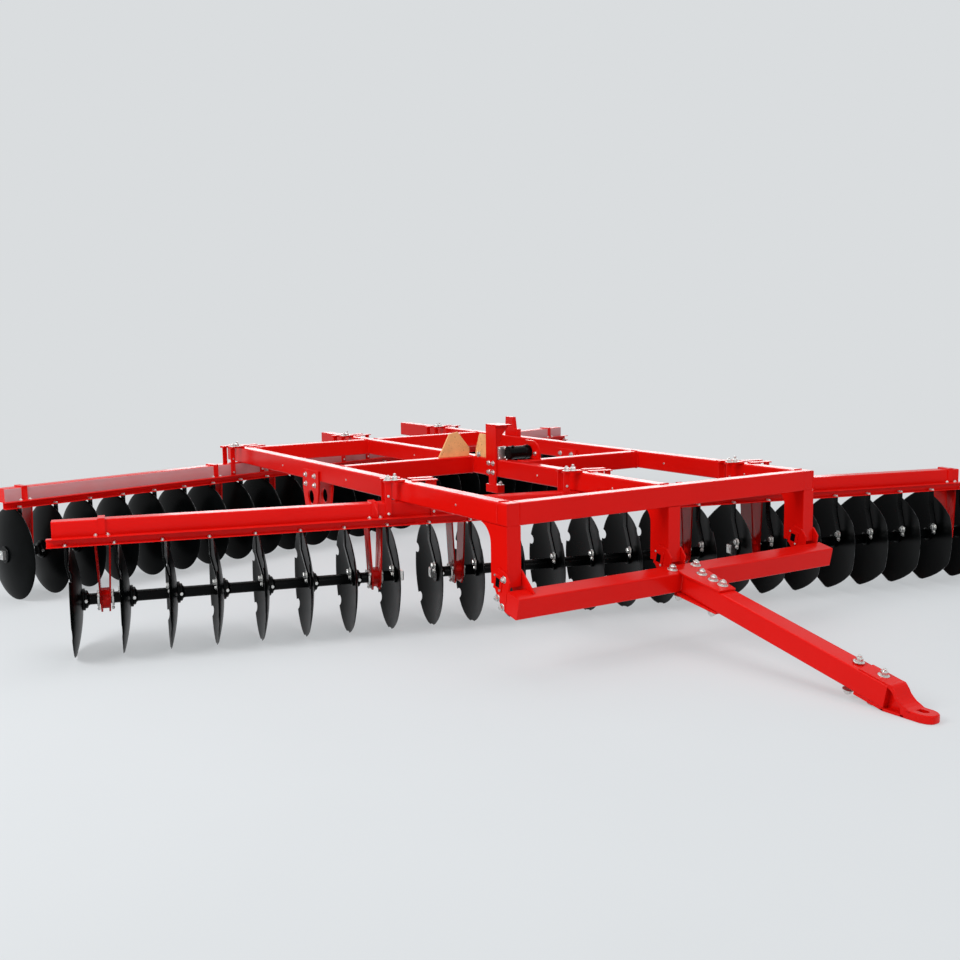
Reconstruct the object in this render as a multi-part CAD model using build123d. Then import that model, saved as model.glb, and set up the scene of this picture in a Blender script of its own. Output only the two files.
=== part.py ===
"""Offset disc harrow: a trailed frame of square tubes over two slanted rows of disc gangs.

Millimetres. +X is the direction of travel, +Y the machine's left and +Z up. While it is
built, x = 0 is the front face of the frame, y = 0 its middle and z = 0 the ground that the
discs stand on. At the end everything moves so that the origin is the middle of the whole
machine's footprint, at ground level.
"""
from build123d import *
import math
import os

# Frame: three rails that run lengthwise, joined by cross beams
FRAME_WIDTH = 2366
FRAME_TOP = 925
RAIL_WIDTH = 90
RAIL_HEIGHT = 125
TUBE_WALL = 8
END_CAP = 6
RIGHT_RAIL_LENGTH = 4246
CENTRE_RAIL_LENGTH = 4850
LEFT_RAIL_LENGTH = 5390
MID_BEAM_RIGHT_X = -2150
MID_BEAM_LEFT_X = -1620
REAR_BEAM_X = -3870

# Posts under the front beam, which carry the hitch
POST_FOOT_Z = 470
POST_DEPTH = 160
POST_PLATE = 12
POST_FLARE = 100
POST_FLARE_HEIGHT = 118
POST_OPEN_FOOT = 150

# Hitch: a cross tube with cheeks on the pivot pins, and a straight drawbar
PIVOT_X = -76
PIVOT_Z = 495
PIN_RADIUS = 17.5
PIN_CLEARANCE = 0.5
PIN_HEAD = 8
CHEEK_PLATE = 12
CHEEK_GAP = 3
HITCH_TUBE = 120
HITCH_PAST_RAIL = 26
CHEEK_EYE = 40
CHEEK_HEAD = 74
CHEEK_NOSE = 90
PIN_HEAD_RADIUS = 26.5
PIN_HEAD_GAP = 0.3
HITCH_AHEAD = 110
HITCH_RISE = -10
DRAWBAR_LENGTH = 1450
ROOT_PLATE = 12
ROOT_PLATE_WIDTH = 190
ROOT_PLATE_LENGTH = 300
ROOT_PLATE_OVERLAP = 24
ROOT_PLATE_PAST_TUBE = 2
TONGUE_PLATE = 16
TONGUE_GRIP = 180
TONGUE_WIDTH = 110
TONGUE_HEAD = 30
TONGUE_NOSE = 260
TONGUE_NOSE_HEIGHT = 42
TONGUE_NOSE_TAPER = 50
TONGUE_SHOULDER = 110
TONGUE_SHOULDER_DROP = 4
TONGUE_BROW = 20
TONGUE_SLOT_WIDTH = 40
TONGUE_SLOT_LENGTH = 90
TONGUE_EYE_BACK = 90

# Gangs: rows of dished discs on square axles, slanted across the frame
GANG_ANGLE = 15
GANG_TUBE = 100
GANG_LENGTH = 6190
FRONT_GANG_X = -859
REAR_GANG_X = -4256
FRONT_GANG_START = -3260
REAR_GANG_START = -3210
DISC_RADIUS = 330
DISC_THICKNESS = 6
DISC_DISH = 50
DISC_FLAT_PAST_HUB = 2
DISC_SPACING = 265.5
DISCS_PER_GANG = 8
FRONT_FIRST_DISC = -3121
REAR_FIRST_DISC = -3199
PLAIN_SECTORS = 10
NOTCHES = 6
LOBE_FACETS = 4
NOTCH_WIDTH = 70
NOTCH_FOOT_WIDTH = 34
NOTCH_DEPTH = 36
AXLE = 40
AXLE_CLEARANCE = 0.5
AXLE_OUT = 46
NUT = 62
NUT_LENGTH = 30
SPOOL_RADIUS = 33
SPOOL_FLANGE_RADIUS = 60
SPOOL_FLANGE = 22
SPOOL_FACETS = 8
END_WASHER = 12

# Hangers that carry each gang's two bearings
HANGER_PLATE = 10
HANGER_TOP_WIDTH = 150
HANGER_FOOT = 72
HANGER_FOOT_NARROW = 0.6
HANGER_TOP_SPREAD = 84
HANGER_FOOT_SPREAD = 50
HANGER_SEAT = 12
BEARING_CLEARANCE = 0.8
BEARING_RADIUS = 62
BEARING_FACETS = 12
STRAP_WIDTH = 40
STRAP = 8

# Scraper bars and the scrapers, one for each disc
SCRAPER_BAR = 50
SCRAPER_BAR_WALL = 6
SCRAPER_BAR_AHEAD = 28
SCRAPER_BAR_UP = 12
SCRAPER_BAR_PAST_END = 28
SCRAPER_ARM_WIDTH = 50
SCRAPER_ARM = 10
SCRAPER_RIM_GAP = 12
SCRAPER_HOLLOW_GAP = 28
SCRAPER_BLADE_WIDTH = 90
SCRAPER_BLADE_HEIGHT = 60
SCRAPER_BLADE = 6
SCRAPER_FOOT_UP = 20
SCRAPER_CRANK_LOW = 60
SCRAPER_CRANK_HIGH = 210

# Clamps that hold the gang beams under the rails
CLAMP_STRAP = 10
CLAMP_STRAP_WIDTH = 40
CLAMP_REACH_RIGHT = 129
CLAMP_REACH_LEFT = 158
CLAMP_PLATE = 15
CLAMP_PLATE_WIDTH = 60
CLAMP_PLATE_PAST_STRAP = 8

# Brackets for the wheel shaft, whose wheels and arms are not fitted
ROCKER_X = -2515
ROCKER_WIDTH = 270
ROCKER_DROP = 215
ROCKER_LAP = 75
ROCKER_TAPER_BELOW = 60
ROCKER_FOOT_SHARE = 0.7
ROCKER_PLATE = 15
ROCKER_BORE_RADIUS = 51
ROCKER_BORE_BELOW = 120

# What stands on the middle of the frame
MAST_FRONT_X = -1827
MAST_HEIGHT = 250
MAST_DEPTH = 133
MAST_WIDTH = 45
MAST_SIDE_PLATE = 12
MAST_HEAD = 10
MAST_HEAD_AHEAD = 37
MAST_HEAD_LEFT = 60
GUSSET_PLATE = 12
GUSSET_HEIGHT = 182
GUSSET_BASE = 265
GUSSET_ALONG = 178
GUSSET_NARROW = 0.42
GUSSET_CUT = 60
CYLINDER_RADIUS = 48
CYLINDER_X = -1775
CYLINDER_END_Y = 195
CYLINDER_HEAD = 15
CYLINDER_HEAD_WIDTH = 70
CYLINDER_HEAD_HEIGHT = 93
ANCHOR_PLATE = 14
ANCHOR_HEIGHT = 128
ANCHOR_FRONT_X = -1643
ANCHOR_LENGTH = 177
LUG_X = -3480
LUG_LENGTH = 200
LUG_HEIGHT = 165
LUG_FOOT_HEIGHT = 62
LUG_PLATE = 40

# Two ears behind the front beam
EAR_SPACING = 90
EAR_PLATE = 12
EAR_LENGTH = 130
EAR_RISE = 50
EAR_FOOT = 20

# Worked out from the sizes above
FRAME_BOTTOM = FRAME_TOP - RAIL_HEIGHT
RAIL_Y = FRAME_WIDTH / 2 - RAIL_WIDTH / 2
GANG_TOP = FRAME_BOTTOM
GANG_BOTTOM = GANG_TOP - GANG_TUBE
ARBOR_Z = DISC_RADIUS
SCRAPER_BAR_BOTTOM = GANG_BOTTOM + SCRAPER_BAR_UP - SCRAPER_BAR
# node name: middle in y, front end and rear end in x
RAILS = {
    "right_rail": (-RAIL_Y, 0, -RIGHT_RAIL_LENGTH),
    "centre_rail": (0, -RAIL_WIDTH, -CENTRE_RAIL_LENGTH),
    "left_rail": (RAIL_Y, 0, -LEFT_RAIL_LENGTH),
}
# row name: x of the tube's front face on the machine's middle line, slant, first disc's hub
# along the row, start of the tube along the row, and the side that the discs' hollows face
GANG_ROWS = {
    "front": (FRONT_GANG_X, -GANG_ANGLE, FRONT_FIRST_DISC, FRONT_GANG_START, -1),
    "rear": (REAR_GANG_X, GANG_ANGLE, REAR_FIRST_DISC, REAR_GANG_START, 1),
}
# gang: how far its first notch has turned from straight down towards the front
GANG_TURNS = {"right": 6.5, "centre": 10, "left": 30}


def block(x_from, x_to, y_from, y_to, z_from, z_to):
    """A box between two corners."""
    middle = Pos((x_from + x_to) / 2, (y_from + y_to) / 2, (z_from + z_to) / 2)
    return middle * Box(abs(x_to - x_from), abs(y_to - y_from), abs(z_to - z_from))


def side_profile(points, y_from, y_to):
    """A closed outline of (x, z) points, made thick from y_from to y_to."""
    outline = Polyline(*[(x, 0, z) for x, z in points], close=True)
    face = make_face(outline)
    return extrude(Pos(0, y_from, 0) * face, amount=y_to - y_from, dir=(0, 1, 0))


def round_bar(radius, y_from, y_to, x=0, z=0):
    """A round bar along Y."""
    bar = Rot(90, 0, 0) * Cylinder(radius, abs(y_to - y_from))
    return Pos(x, (y_from + y_to) / 2, z) * bar


def faceted_bar(radius, sides, y_from, y_to, x=0, z=0):
    """A bar of flat facets along Y, whose corners lie on the radius."""
    bar = extrude(RegularPolygon(radius, sides), amount=abs(y_to - y_from) / 2, both=True)
    return Pos(x, (y_from + y_to) / 2, z) * Rot(90, 0, 0) * bar


def tube_along_x(x_from, x_to, y, z_top, width, height, wall, cap):
    """A rectangular tube along X, closed by a cap at both ends."""
    outer = block(x_from, x_to, y - width / 2, y + width / 2, z_top - height, z_top)
    inner = block(x_from + cap, x_to - cap, y - width / 2 + wall, y + width / 2 - wall,
                  z_top - height + wall, z_top - wall)
    return outer - inner


def tube_along_y(y_from, y_to, x_front, z_top, depth, height, wall, cap):
    """A rectangular tube along Y, with its front face at x_front."""
    outer = block(x_front - depth, x_front, y_from, y_to, z_top - height, z_top)
    inner = block(x_front - depth + wall, x_front - wall, y_from + cap, y_to - cap,
                  z_top - height + wall, z_top - wall)
    return outer - inner


def in_row(row, shape):
    """Moves a shape from a gang row's own frame, forward along X and along the row on Y, to its place."""
    x, slant = GANG_ROWS[row][:2]
    return Pos(x, 0, 0) * Rot(0, 0, slant) * shape


def row_disc_places(row):
    """Where the hubs of all the discs of a row are, along the row."""
    first = GANG_ROWS[row][2]
    return [first + n * DISC_SPACING for n in range(DISCS_PER_GANG * len(GANG_TURNS))]


def row_hanger_places(row):
    """Where the hangers of a row are: between the first two and the last two discs of each gang."""
    discs = row_disc_places(row)
    places = []
    for gang in range(len(GANG_TURNS)):
        first = gang * DISCS_PER_GANG
        last = first + DISCS_PER_GANG - 1
        places.append((discs[first] + discs[first + 1]) / 2)
        places.append((discs[last - 1] + discs[last]) / 2)
    return places


def rail_crossings():
    """Where the rails' middle lines cross a gang row, along the row."""
    return [rail_y / math.cos(math.radians(GANG_ANGLE)) for rail_y, front, rear in RAILS.values()]


# Frame


def make_rails():
    return {
        name: tube_along_x(rear, front, y, FRAME_TOP, RAIL_WIDTH, RAIL_HEIGHT, TUBE_WALL, END_CAP)
        for name, (y, front, rear) in RAILS.items()
    }


def make_cross_beams():
    inner = RAIL_Y - RAIL_WIDTH / 2
    half = RAIL_WIDTH / 2
    # node name, right end, left end, front face
    beams = [
        ("front_beam", -inner, inner, 0),
        ("mid_beam_right", -inner, -half, MID_BEAM_RIGHT_X),
        ("mid_beam_left", half, inner, MID_BEAM_LEFT_X),
        ("rear_beam_right", -inner, -half, REAR_BEAM_X),
        ("rear_beam_left", half, inner, REAR_BEAM_X),
    ]
    return {
        name: tube_along_y(y_from, y_to, x, FRAME_TOP, RAIL_WIDTH, RAIL_HEIGHT, TUBE_WALL, END_CAP)
        for name, y_from, y_to, x in beams
    }


def make_post(y):
    """A hollow post with a flared head and a bore for the hitch's pin."""
    half = RAIL_WIDTH / 2
    flare_z = FRAME_BOTTOM - POST_FLARE_HEIGHT
    outline = Polyline((0, 0, FRAME_BOTTOM), (0, 0, POST_FOOT_Z), (-POST_DEPTH, 0, POST_FOOT_Z),
                       (-POST_DEPTH, 0, flare_z))
    flare = ThreePointArc((-POST_DEPTH, 0, flare_z),
                          (-POST_DEPTH - POST_FLARE * 0.3, 0, flare_z + POST_FLARE_HEIGHT * 0.68),
                          (-POST_DEPTH - POST_FLARE, 0, FRAME_BOTTOM))
    top = Line((-POST_DEPTH - POST_FLARE, 0, FRAME_BOTTOM), (0, 0, FRAME_BOTTOM))
    face = make_face(outline + flare + top)
    cheeks = [extrude(Pos(0, side, 0) * face, amount=POST_PLATE, dir=(0, 1, 0))
              for side in (-half, half - POST_PLATE)]
    front = block(-POST_PLATE, 0, -half, half, POST_FOOT_Z, FRAME_BOTTOM)
    back = block(-POST_DEPTH, -POST_DEPTH + POST_PLATE, -half, half, POST_FOOT_Z + POST_OPEN_FOOT, flare_z)
    post = cheeks[0] + cheeks[1] + front + back
    post -= round_bar(PIN_RADIUS + PIN_CLEARANCE, -RAIL_WIDTH, RAIL_WIDTH, PIVOT_X, PIVOT_Z)
    return Pos(0, y, 0) * post


# Hitch, built level about the pivot and then lowered onto its tongue


def rest_dip():
    """The angle at which the plate under the drawbar's end just rests on the ground."""
    ahead = HITCH_AHEAD + HITCH_TUBE + DRAWBAR_LENGTH
    below = HITCH_TUBE - HITCH_RISE + TONGUE_PLATE
    return math.degrees(math.asin(PIVOT_Z / math.hypot(ahead, below)) - math.atan2(below, ahead))


def lowered(shape):
    """Moves a shape from the hitch's own frame, with the pivot at its origin, to its rest place."""
    return Pos(PIVOT_X, 0, PIVOT_Z) * Rot(0, rest_dip(), 0) * shape


def make_hitch_beam():
    half = FRAME_WIDTH / 2 + HITCH_PAST_RAIL
    return tube_along_y(-half, half, HITCH_AHEAD + HITCH_TUBE, HITCH_RISE, HITCH_TUBE, HITCH_TUBE,
                        TUBE_WALL, END_CAP)


def make_hitch_cheeks():
    """Two cheeks for each post, from the pin to the back of the cross tube."""
    low = HITCH_RISE - HITCH_TUBE
    eye = CHEEK_EYE
    points = [(HITCH_AHEAD, HITCH_RISE), (HITCH_AHEAD, low), (HITCH_AHEAD / 2, low + CHEEK_PLATE),
              (-eye / 2, -1.2 * eye), (-eye, -eye / 2), (-eye, eye), (-eye / 4, CHEEK_HEAD),
              (HITCH_AHEAD / 2, CHEEK_HEAD), (HITCH_AHEAD + CHEEK_NOSE, HITCH_RISE)]
    cheeks = Part()
    for y in (-RAIL_Y, 0, RAIL_Y):
        for side in (-1, 1):
            near = y + side * (RAIL_WIDTH / 2 + CHEEK_GAP)
            far = near + side * CHEEK_PLATE
            cheek = side_profile(points, min(near, far), max(near, far))
            cheek -= round_bar(PIN_RADIUS + PIN_CLEARANCE, near - RAIL_WIDTH / 2, near + RAIL_WIDTH / 2)
            cheeks += cheek
    return cheeks


def make_pivot_pins():
    """A pin with a hexagonal head at each end, through each post and its two cheeks."""
    reach = RAIL_WIDTH / 2 + CHEEK_GAP + CHEEK_PLATE + PIN_HEAD_GAP
    pins = Part()
    for y in (-RAIL_Y, 0, RAIL_Y):
        pin = round_bar(PIN_RADIUS, -reach, reach)
        for side in (-1, 1):
            pin += faceted_bar(PIN_HEAD_RADIUS, 6, side * reach, side * (reach + PIN_HEAD))
        pins += Pos(0, y, 0) * pin
    return pins


def make_drawbar():
    back = HITCH_AHEAD + HITCH_TUBE
    return tube_along_x(back, back + DRAWBAR_LENGTH, 0, HITCH_RISE, HITCH_TUBE, HITCH_TUBE, TUBE_WALL,
                        END_CAP)


def make_root_plates():
    """The tapered plates above and below the drawbar's root."""
    back = HITCH_AHEAD + HITCH_TUBE
    wide = ROOT_PLATE_WIDTH / 2
    narrow = HITCH_TUBE / 2 + ROOT_PLATE_PAST_TUBE
    outline = make_face(Polyline(
        (back - ROOT_PLATE_OVERLAP, -0.9 * wide, 0), (back + 2 * ROOT_PLATE_OVERLAP, -wide, 0),
        (back + ROOT_PLATE_LENGTH, -narrow, 0), (back + ROOT_PLATE_LENGTH, narrow, 0),
        (back + 2 * ROOT_PLATE_OVERLAP, wide, 0), (back - ROOT_PLATE_OVERLAP, 0.9 * wide, 0), close=True))
    upper = extrude(Pos(0, 0, HITCH_RISE) * outline, amount=ROOT_PLATE, dir=(0, 0, 1))
    lower = extrude(Pos(0, 0, HITCH_RISE - HITCH_TUBE) * outline, amount=ROOT_PLATE, dir=(0, 0, -1))
    return upper + lower


def make_tongue():
    """A forged tongue: grips above and below the drawbar's end, and a level nose with a slotted eye."""
    end = HITCH_AHEAD + HITCH_TUBE + DRAWBAR_LENGTH
    half = TONGUE_WIDTH / 2
    low = HITCH_RISE - HITCH_TUBE
    upper = block(end - TONGUE_GRIP, end + TONGUE_HEAD, -half, half, HITCH_RISE, HITCH_RISE + TONGUE_PLATE)
    lower = block(end - TONGUE_GRIP, end, -half, half, low - TONGUE_PLATE, low)
    # the nose about the lower back corner of the grip, level when the tongue rests on the ground
    shoulder = HITCH_TUBE + 2 * TONGUE_PLATE - TONGUE_SHOULDER_DROP
    lift = TONGUE_NOSE_HEIGHT
    side = Polyline((0, 0, 0), (TONGUE_NOSE, 0, 0), (TONGUE_NOSE, 0, 0.7 * lift),
                    (TONGUE_NOSE - lift / 2, 0, lift), (TONGUE_SHOULDER, 0, lift),
                    (0.64 * TONGUE_SHOULDER, 0, 1.6 * lift),
                    (0.44 * TONGUE_SHOULDER, 0, shoulder - TONGUE_BROW),
                    (0.2 * TONGUE_SHOULDER, 0, shoulder), (0, 0, shoulder), close=True)
    nose = extrude(Pos(0, -half, 0) * make_face(side), amount=TONGUE_WIDTH, dir=(0, 1, 0))
    tip = 0.45 * half
    taper = TONGUE_NOSE - TONGUE_NOSE_TAPER
    plan = make_face(Polyline(
        (-TONGUE_NOSE, -half, 0), (taper, -half, 0), (TONGUE_NOSE, -tip, 0),
        (TONGUE_NOSE, tip, 0), (taper, half, 0), (-TONGUE_NOSE, half, 0), close=True))
    nose &= extrude(plan, amount=TONGUE_NOSE, dir=(0, 0, 1))
    eye = Pos(TONGUE_NOSE - TONGUE_EYE_BACK, 0, -lift) * SlotOverall(TONGUE_SLOT_LENGTH, TONGUE_SLOT_WIDTH)
    nose -= extrude(eye, amount=4 * lift, dir=(0, 0, 1))
    nose = Pos(end, 0, low - TONGUE_PLATE) * Rot(0, -rest_dip(), 0) * nose
    nose -= block(end - TONGUE_NOSE, end, -half, half, low - TONGUE_NOSE, HITCH_RISE + TONGUE_NOSE)
    return upper + lower + nose


# Gang rows


def rim_corners(notched, turn):
    """(angle, radius) of the corners round a disc's rim, and how many of them lie in each of its sectors."""
    if not notched:
        return [(math.pi * n / PLAIN_SECTORS, DISC_RADIUS) for n in range(2 * PLAIN_SECTORS)], 2
    mouth = math.asin(NOTCH_WIDTH / 2 / DISC_RADIUS)
    foot = math.asin(NOTCH_FOOT_WIDTH / 2 / DISC_RADIUS)
    floor = DISC_RADIUS - NOTCH_DEPTH
    sector = 2 * math.pi / NOTCHES
    lobe = [(mouth + (sector - 2 * mouth) * n / LOBE_FACETS, DISC_RADIUS) for n in range(LOBE_FACETS + 1)]
    corners = [(-foot, floor), (foot, floor)] + lobe
    start = math.radians(turn)
    return [(start + n * sector + angle, radius) for n in range(NOTCHES) for angle, radius in corners], len(corners)


def disc_skin(rim, per_sector, height):
    """The facets of one face of a disc, a flat middle at that height and a cone, and the rim's corners."""
    # the middle has a corner for each sector, at the sector's first corner of the rim, and room for the spool
    flat = (SPOOL_FLANGE_RADIUS + DISC_FLAT_PAST_HUB) / math.cos(math.pi * per_sector / len(rim))
    middle = [(flat * math.cos(angle), flat * math.sin(angle), height) for angle, radius in rim[::per_sector]]
    edge = [(radius * math.cos(angle), radius * math.sin(angle),
             height + DISC_DISH * (radius - flat) / (DISC_RADIUS - flat)) for angle, radius in rim]
    facets = [middle]
    for n in range(len(edge)):
        sector = n // per_sector
        following = (sector + 1) % len(middle)
        facets.append([middle[sector], edge[n], edge[(n + 1) % len(edge)]])
        if n % per_sector == per_sector - 1:
            facets.append([middle[sector], edge[(n + 1) % len(edge)], middle[following]])
    return facets, edge


def make_disc(notched, hollow_side, turn):
    """A dished disc round Y: a flat middle on the axle and a cone that leans to the hollow side.

    Its curves are flat facets, because the part has so many discs.
    """
    rim, per_sector = rim_corners(notched, turn)
    hollow, front_edge = disc_skin(rim, per_sector, 0)
    back, back_edge = disc_skin(rim, per_sector, -DISC_THICKNESS)
    count = len(rim)
    edge = [[back_edge[n], back_edge[(n + 1) % count], front_edge[(n + 1) % count], front_edge[n]]
            for n in range(count)]
    faces = [Face(Wire.make_polygon(corners, close=True)) for corners in hollow + back + edge]
    disc = Part() + Solid(Shell(faces))
    disc -= Box(AXLE + 2 * AXLE_CLEARANCE, AXLE + 2 * AXLE_CLEARANCE, 4 * DISC_THICKNESS)
    # the rim's angles start straight down, where the disc stands on the ground
    return Rot(-hollow_side * 90, 0, 0) * Rot(0, 0, hollow_side * 90) * disc


def make_gang(row, gang, turn):
    """The axle with its spools, and the discs, of one gang."""
    side = GANG_ROWS[row][4]
    first = gang * DISCS_PER_GANG
    places = row_disc_places(row)[first:first + DISCS_PER_GANG]
    # from a disc's hub plane, which is the floor of its hollow, to its back
    low = min(-side * DISC_THICKNESS, 0)
    high = max(-side * DISC_THICKNESS, 0)
    axle = block(-AXLE / 2, AXLE / 2, places[0] + low - AXLE_OUT, places[-1] + high + AXLE_OUT,
                 -AXLE / 2, AXLE / 2)
    # a spool between each two discs, with its wide flange on the back of one of them
    for right, left in zip(places, places[1:]):
        start = right + high
        end = left + low
        flange = (start, start + SPOOL_FLANGE) if side < 0 else (end - SPOOL_FLANGE, end)
        axle += faceted_bar(SPOOL_RADIUS, SPOOL_FACETS, start, end)
        axle += faceted_bar(SPOOL_FLANGE_RADIUS, SPOOL_FACETS, *flange)
    for place, way in ((places[0] + low, -1), (places[-1] + high, 1)):
        axle += faceted_bar(SPOOL_FLANGE_RADIUS, SPOOL_FACETS, place, place + way * END_WASHER)
        nut_at = place + way * (END_WASHER + NUT_LENGTH / 2)
        axle += Pos(0, nut_at, 0) * Box(NUT, NUT_LENGTH, NUT)
    disc = make_disc(row == "front", side, turn)
    discs = Part() + [Pos(0, place, 0) * disc for place in places]
    lift = Pos(-GANG_TUBE / 2, 0, ARBOR_Z)
    return in_row(row, lift * axle), in_row(row, lift * discs)


def make_gang_beam(row):
    start = GANG_ROWS[row][3]
    beam = tube_along_y(start, start + GANG_LENGTH, 0, GANG_TOP, GANG_TUBE, GANG_TUBE, TUBE_WALL, END_CAP)
    return in_row(row, beam)


def make_hanger(with_strap):
    """A V of two plates from the beam down to a bearing, with a strap over the beam."""
    middle = -GANG_TUBE / 2
    seat_bottom = GANG_BOTTOM - HANGER_SEAT
    half_top = HANGER_TOP_WIDTH / 2
    half_seat = HANGER_TOP_SPREAD / 2 + HANGER_PLATE
    hanger = block(middle - half_top, SCRAPER_BAR_AHEAD, -half_seat, half_seat, seat_bottom, GANG_BOTTOM)
    height = seat_bottom - ARBOR_Z
    lean = math.degrees(math.atan2((HANGER_TOP_SPREAD - HANGER_FOOT_SPREAD) / 2, height))
    foot = HANGER_FOOT
    toe = HANGER_FOOT_NARROW * foot
    # about the bearing's middle; the plate's head runs a little into the seat
    outline = Polyline((-half_top, 0, height + STRAP / 2), (-foot, 0, foot / 4), (-foot, 0, -foot / 3),
                       (-toe, 0, -foot), (toe, 0, -foot), (foot, 0, -foot / 3), (foot, 0, foot / 4),
                       (half_top - STRAP, 0, height + STRAP / 2), close=True)
    plate = extrude(Pos(0, -HANGER_PLATE / 2, 0) * make_face(outline), amount=HANGER_PLATE, dir=(0, 1, 0))
    half_foot = HANGER_FOOT_SPREAD / 2
    for side in (-1, 1):
        hanger += Pos(middle, side * half_foot, ARBOR_Z) * Rot(-side * lean, 0, 0) * plate
    hanger += faceted_bar(BEARING_RADIUS, BEARING_FACETS, -half_foot, half_foot, middle, ARBOR_Z)
    hanger -= block(middle - GANG_TUBE, middle + GANG_TUBE, -GANG_TUBE, GANG_TUBE, GANG_BOTTOM, GANG_TOP)
    bore = (SPOOL_RADIUS + BEARING_CLEARANCE) / math.cos(math.pi / BEARING_FACETS)
    hanger -= faceted_bar(bore, BEARING_FACETS, -GANG_TUBE, GANG_TUBE, middle, ARBOR_Z)
    if with_strap:
        half = STRAP_WIDTH / 2
        hanger += block(0, STRAP, -half, half, seat_bottom, GANG_TOP + STRAP)
        hanger += block(-GANG_TUBE - STRAP, -GANG_TUBE, -half, half, seat_bottom, GANG_TOP + STRAP)
        hanger += block(-GANG_TUBE, 0, -half, half, GANG_TOP, GANG_TOP + STRAP)
    return hanger


def make_hangers(row):
    """The hangers of a row; one that comes under a rail is held by the rail's clamp and has no strap."""
    under_rail = RAIL_WIDTH / 2 + GANG_TUBE / 2 + STRAP_WIDTH
    hangers = []
    for place in row_hanger_places(row):
        clear = all(abs(place - crossing) > under_rail for crossing in rail_crossings())
        hangers.append(Pos(0, place, 0) * make_hanger(clear))
    return in_row(row, Part() + hangers)


def make_scraper_bar(row):
    """A channel along the front foot of the gang beam, open forward."""
    start = GANG_ROWS[row][3] - SCRAPER_BAR_PAST_END
    end = GANG_ROWS[row][3] + GANG_LENGTH + SCRAPER_BAR_PAST_END
    back = SCRAPER_BAR_AHEAD
    low = SCRAPER_BAR_BOTTOM
    high = low + SCRAPER_BAR
    wall = SCRAPER_BAR_WALL
    outer = block(back, back + SCRAPER_BAR, start, end, low, high)
    inner = block(back + wall, back + SCRAPER_BAR + 1, start - 1, end + 1, low + wall, high - wall)
    return in_row(row, outer - inner)


def make_scraper(side):
    """A cranked arm that hangs from the bar into the hollow of a disc at y = 0, and its blade."""
    back = SCRAPER_BAR_AHEAD + (SCRAPER_BAR - SCRAPER_ARM_WIDTH) / 2
    rim = DISC_DISH + SCRAPER_RIM_GAP
    inner = SCRAPER_HOLLOW_GAP
    foot = ARBOR_Z + SCRAPER_FOOT_UP
    crank_low = foot + SCRAPER_CRANK_LOW
    crank_high = foot + SCRAPER_CRANK_HIGH
    top = SCRAPER_BAR_BOTTOM
    # outline across the row: (distance from the hub towards the hollow, height)
    points = [(rim, top), (rim, crank_high), (inner, crank_low), (inner, foot), (inner + SCRAPER_ARM, foot),
              (inner + SCRAPER_ARM, crank_low), (rim + SCRAPER_ARM, crank_high), (rim + SCRAPER_ARM, top)]
    outline = make_face(Polyline(*[(0, side * y, z) for y, z in points], close=True))
    arm = extrude(Pos(back, 0, 0) * outline, amount=SCRAPER_ARM_WIDTH, dir=(1, 0, 0))
    blade_back = back + SCRAPER_ARM_WIDTH - SCRAPER_BLADE_WIDTH
    blade = block(blade_back, back + SCRAPER_ARM_WIDTH, side * (inner - SCRAPER_BLADE), side * inner,
                  foot, foot + SCRAPER_BLADE_HEIGHT)
    return arm + blade


def make_scrapers(row):
    scraper = make_scraper(GANG_ROWS[row][4])
    return in_row(row, Part() + [Pos(0, place, 0) * scraper for place in row_disc_places(row)])


def make_row_clamps(row):
    """For each rail, two flat straps on each side of it round the gang beam, hung from plates over it."""
    clamps = Part()
    low = GANG_BOTTOM - CLAMP_STRAP
    half_strap = CLAMP_STRAP_WIDTH / 2
    past = half_strap + CLAMP_PLATE_PAST_STRAP
    for across in rail_crossings():
        for front in (CLAMP_STRAP, -GANG_TUBE):
            strap_middle = front - CLAMP_STRAP / 2
            plate_back = strap_middle - CLAMP_PLATE_WIDTH / 2
            clamps += block(plate_back, plate_back + CLAMP_PLATE_WIDTH, across - CLAMP_REACH_RIGHT - past,
                            across + CLAMP_REACH_LEFT + past, FRAME_TOP, FRAME_TOP + CLAMP_PLATE)
            for y in (across - CLAMP_REACH_RIGHT, across + CLAMP_REACH_LEFT):
                clamps += block(front - CLAMP_STRAP, front, y - half_strap, y + half_strap, low, FRAME_TOP)
        for y in (across - CLAMP_REACH_RIGHT, across + CLAMP_REACH_LEFT):
            clamps += block(-GANG_TUBE, 0, y - half_strap, y + half_strap, low, GANG_BOTTOM)
    return in_row(row, clamps)


# Brackets and what stands on the frame


def make_rocker_brackets():
    """Pairs of cheeks on the outer rails, bored for the wheel shaft."""
    half = ROCKER_WIDTH / 2
    foot = ROCKER_FOOT_SHARE * half
    top = FRAME_BOTTOM + ROCKER_LAP
    knee = FRAME_BOTTOM - ROCKER_TAPER_BELOW
    low = FRAME_BOTTOM - ROCKER_DROP
    points = [(ROCKER_X - half, top), (ROCKER_X - half, knee), (ROCKER_X - foot, low),
              (ROCKER_X + foot, low), (ROCKER_X + half, knee), (ROCKER_X + half, top)]
    bore_z = FRAME_BOTTOM - ROCKER_BORE_BELOW
    brackets = Part()
    for y in (-RAIL_Y, RAIL_Y):
        for side in (-1, 1):
            near = y + side * RAIL_WIDTH / 2
            far = near + side * ROCKER_PLATE
            cheek = side_profile(points, min(near, far), max(near, far))
            brackets += cheek - round_bar(ROCKER_BORE_RADIUS, near - ROCKER_WIDTH, near + ROCKER_WIDTH,
                                          ROCKER_X, bore_z)
    return brackets


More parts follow.
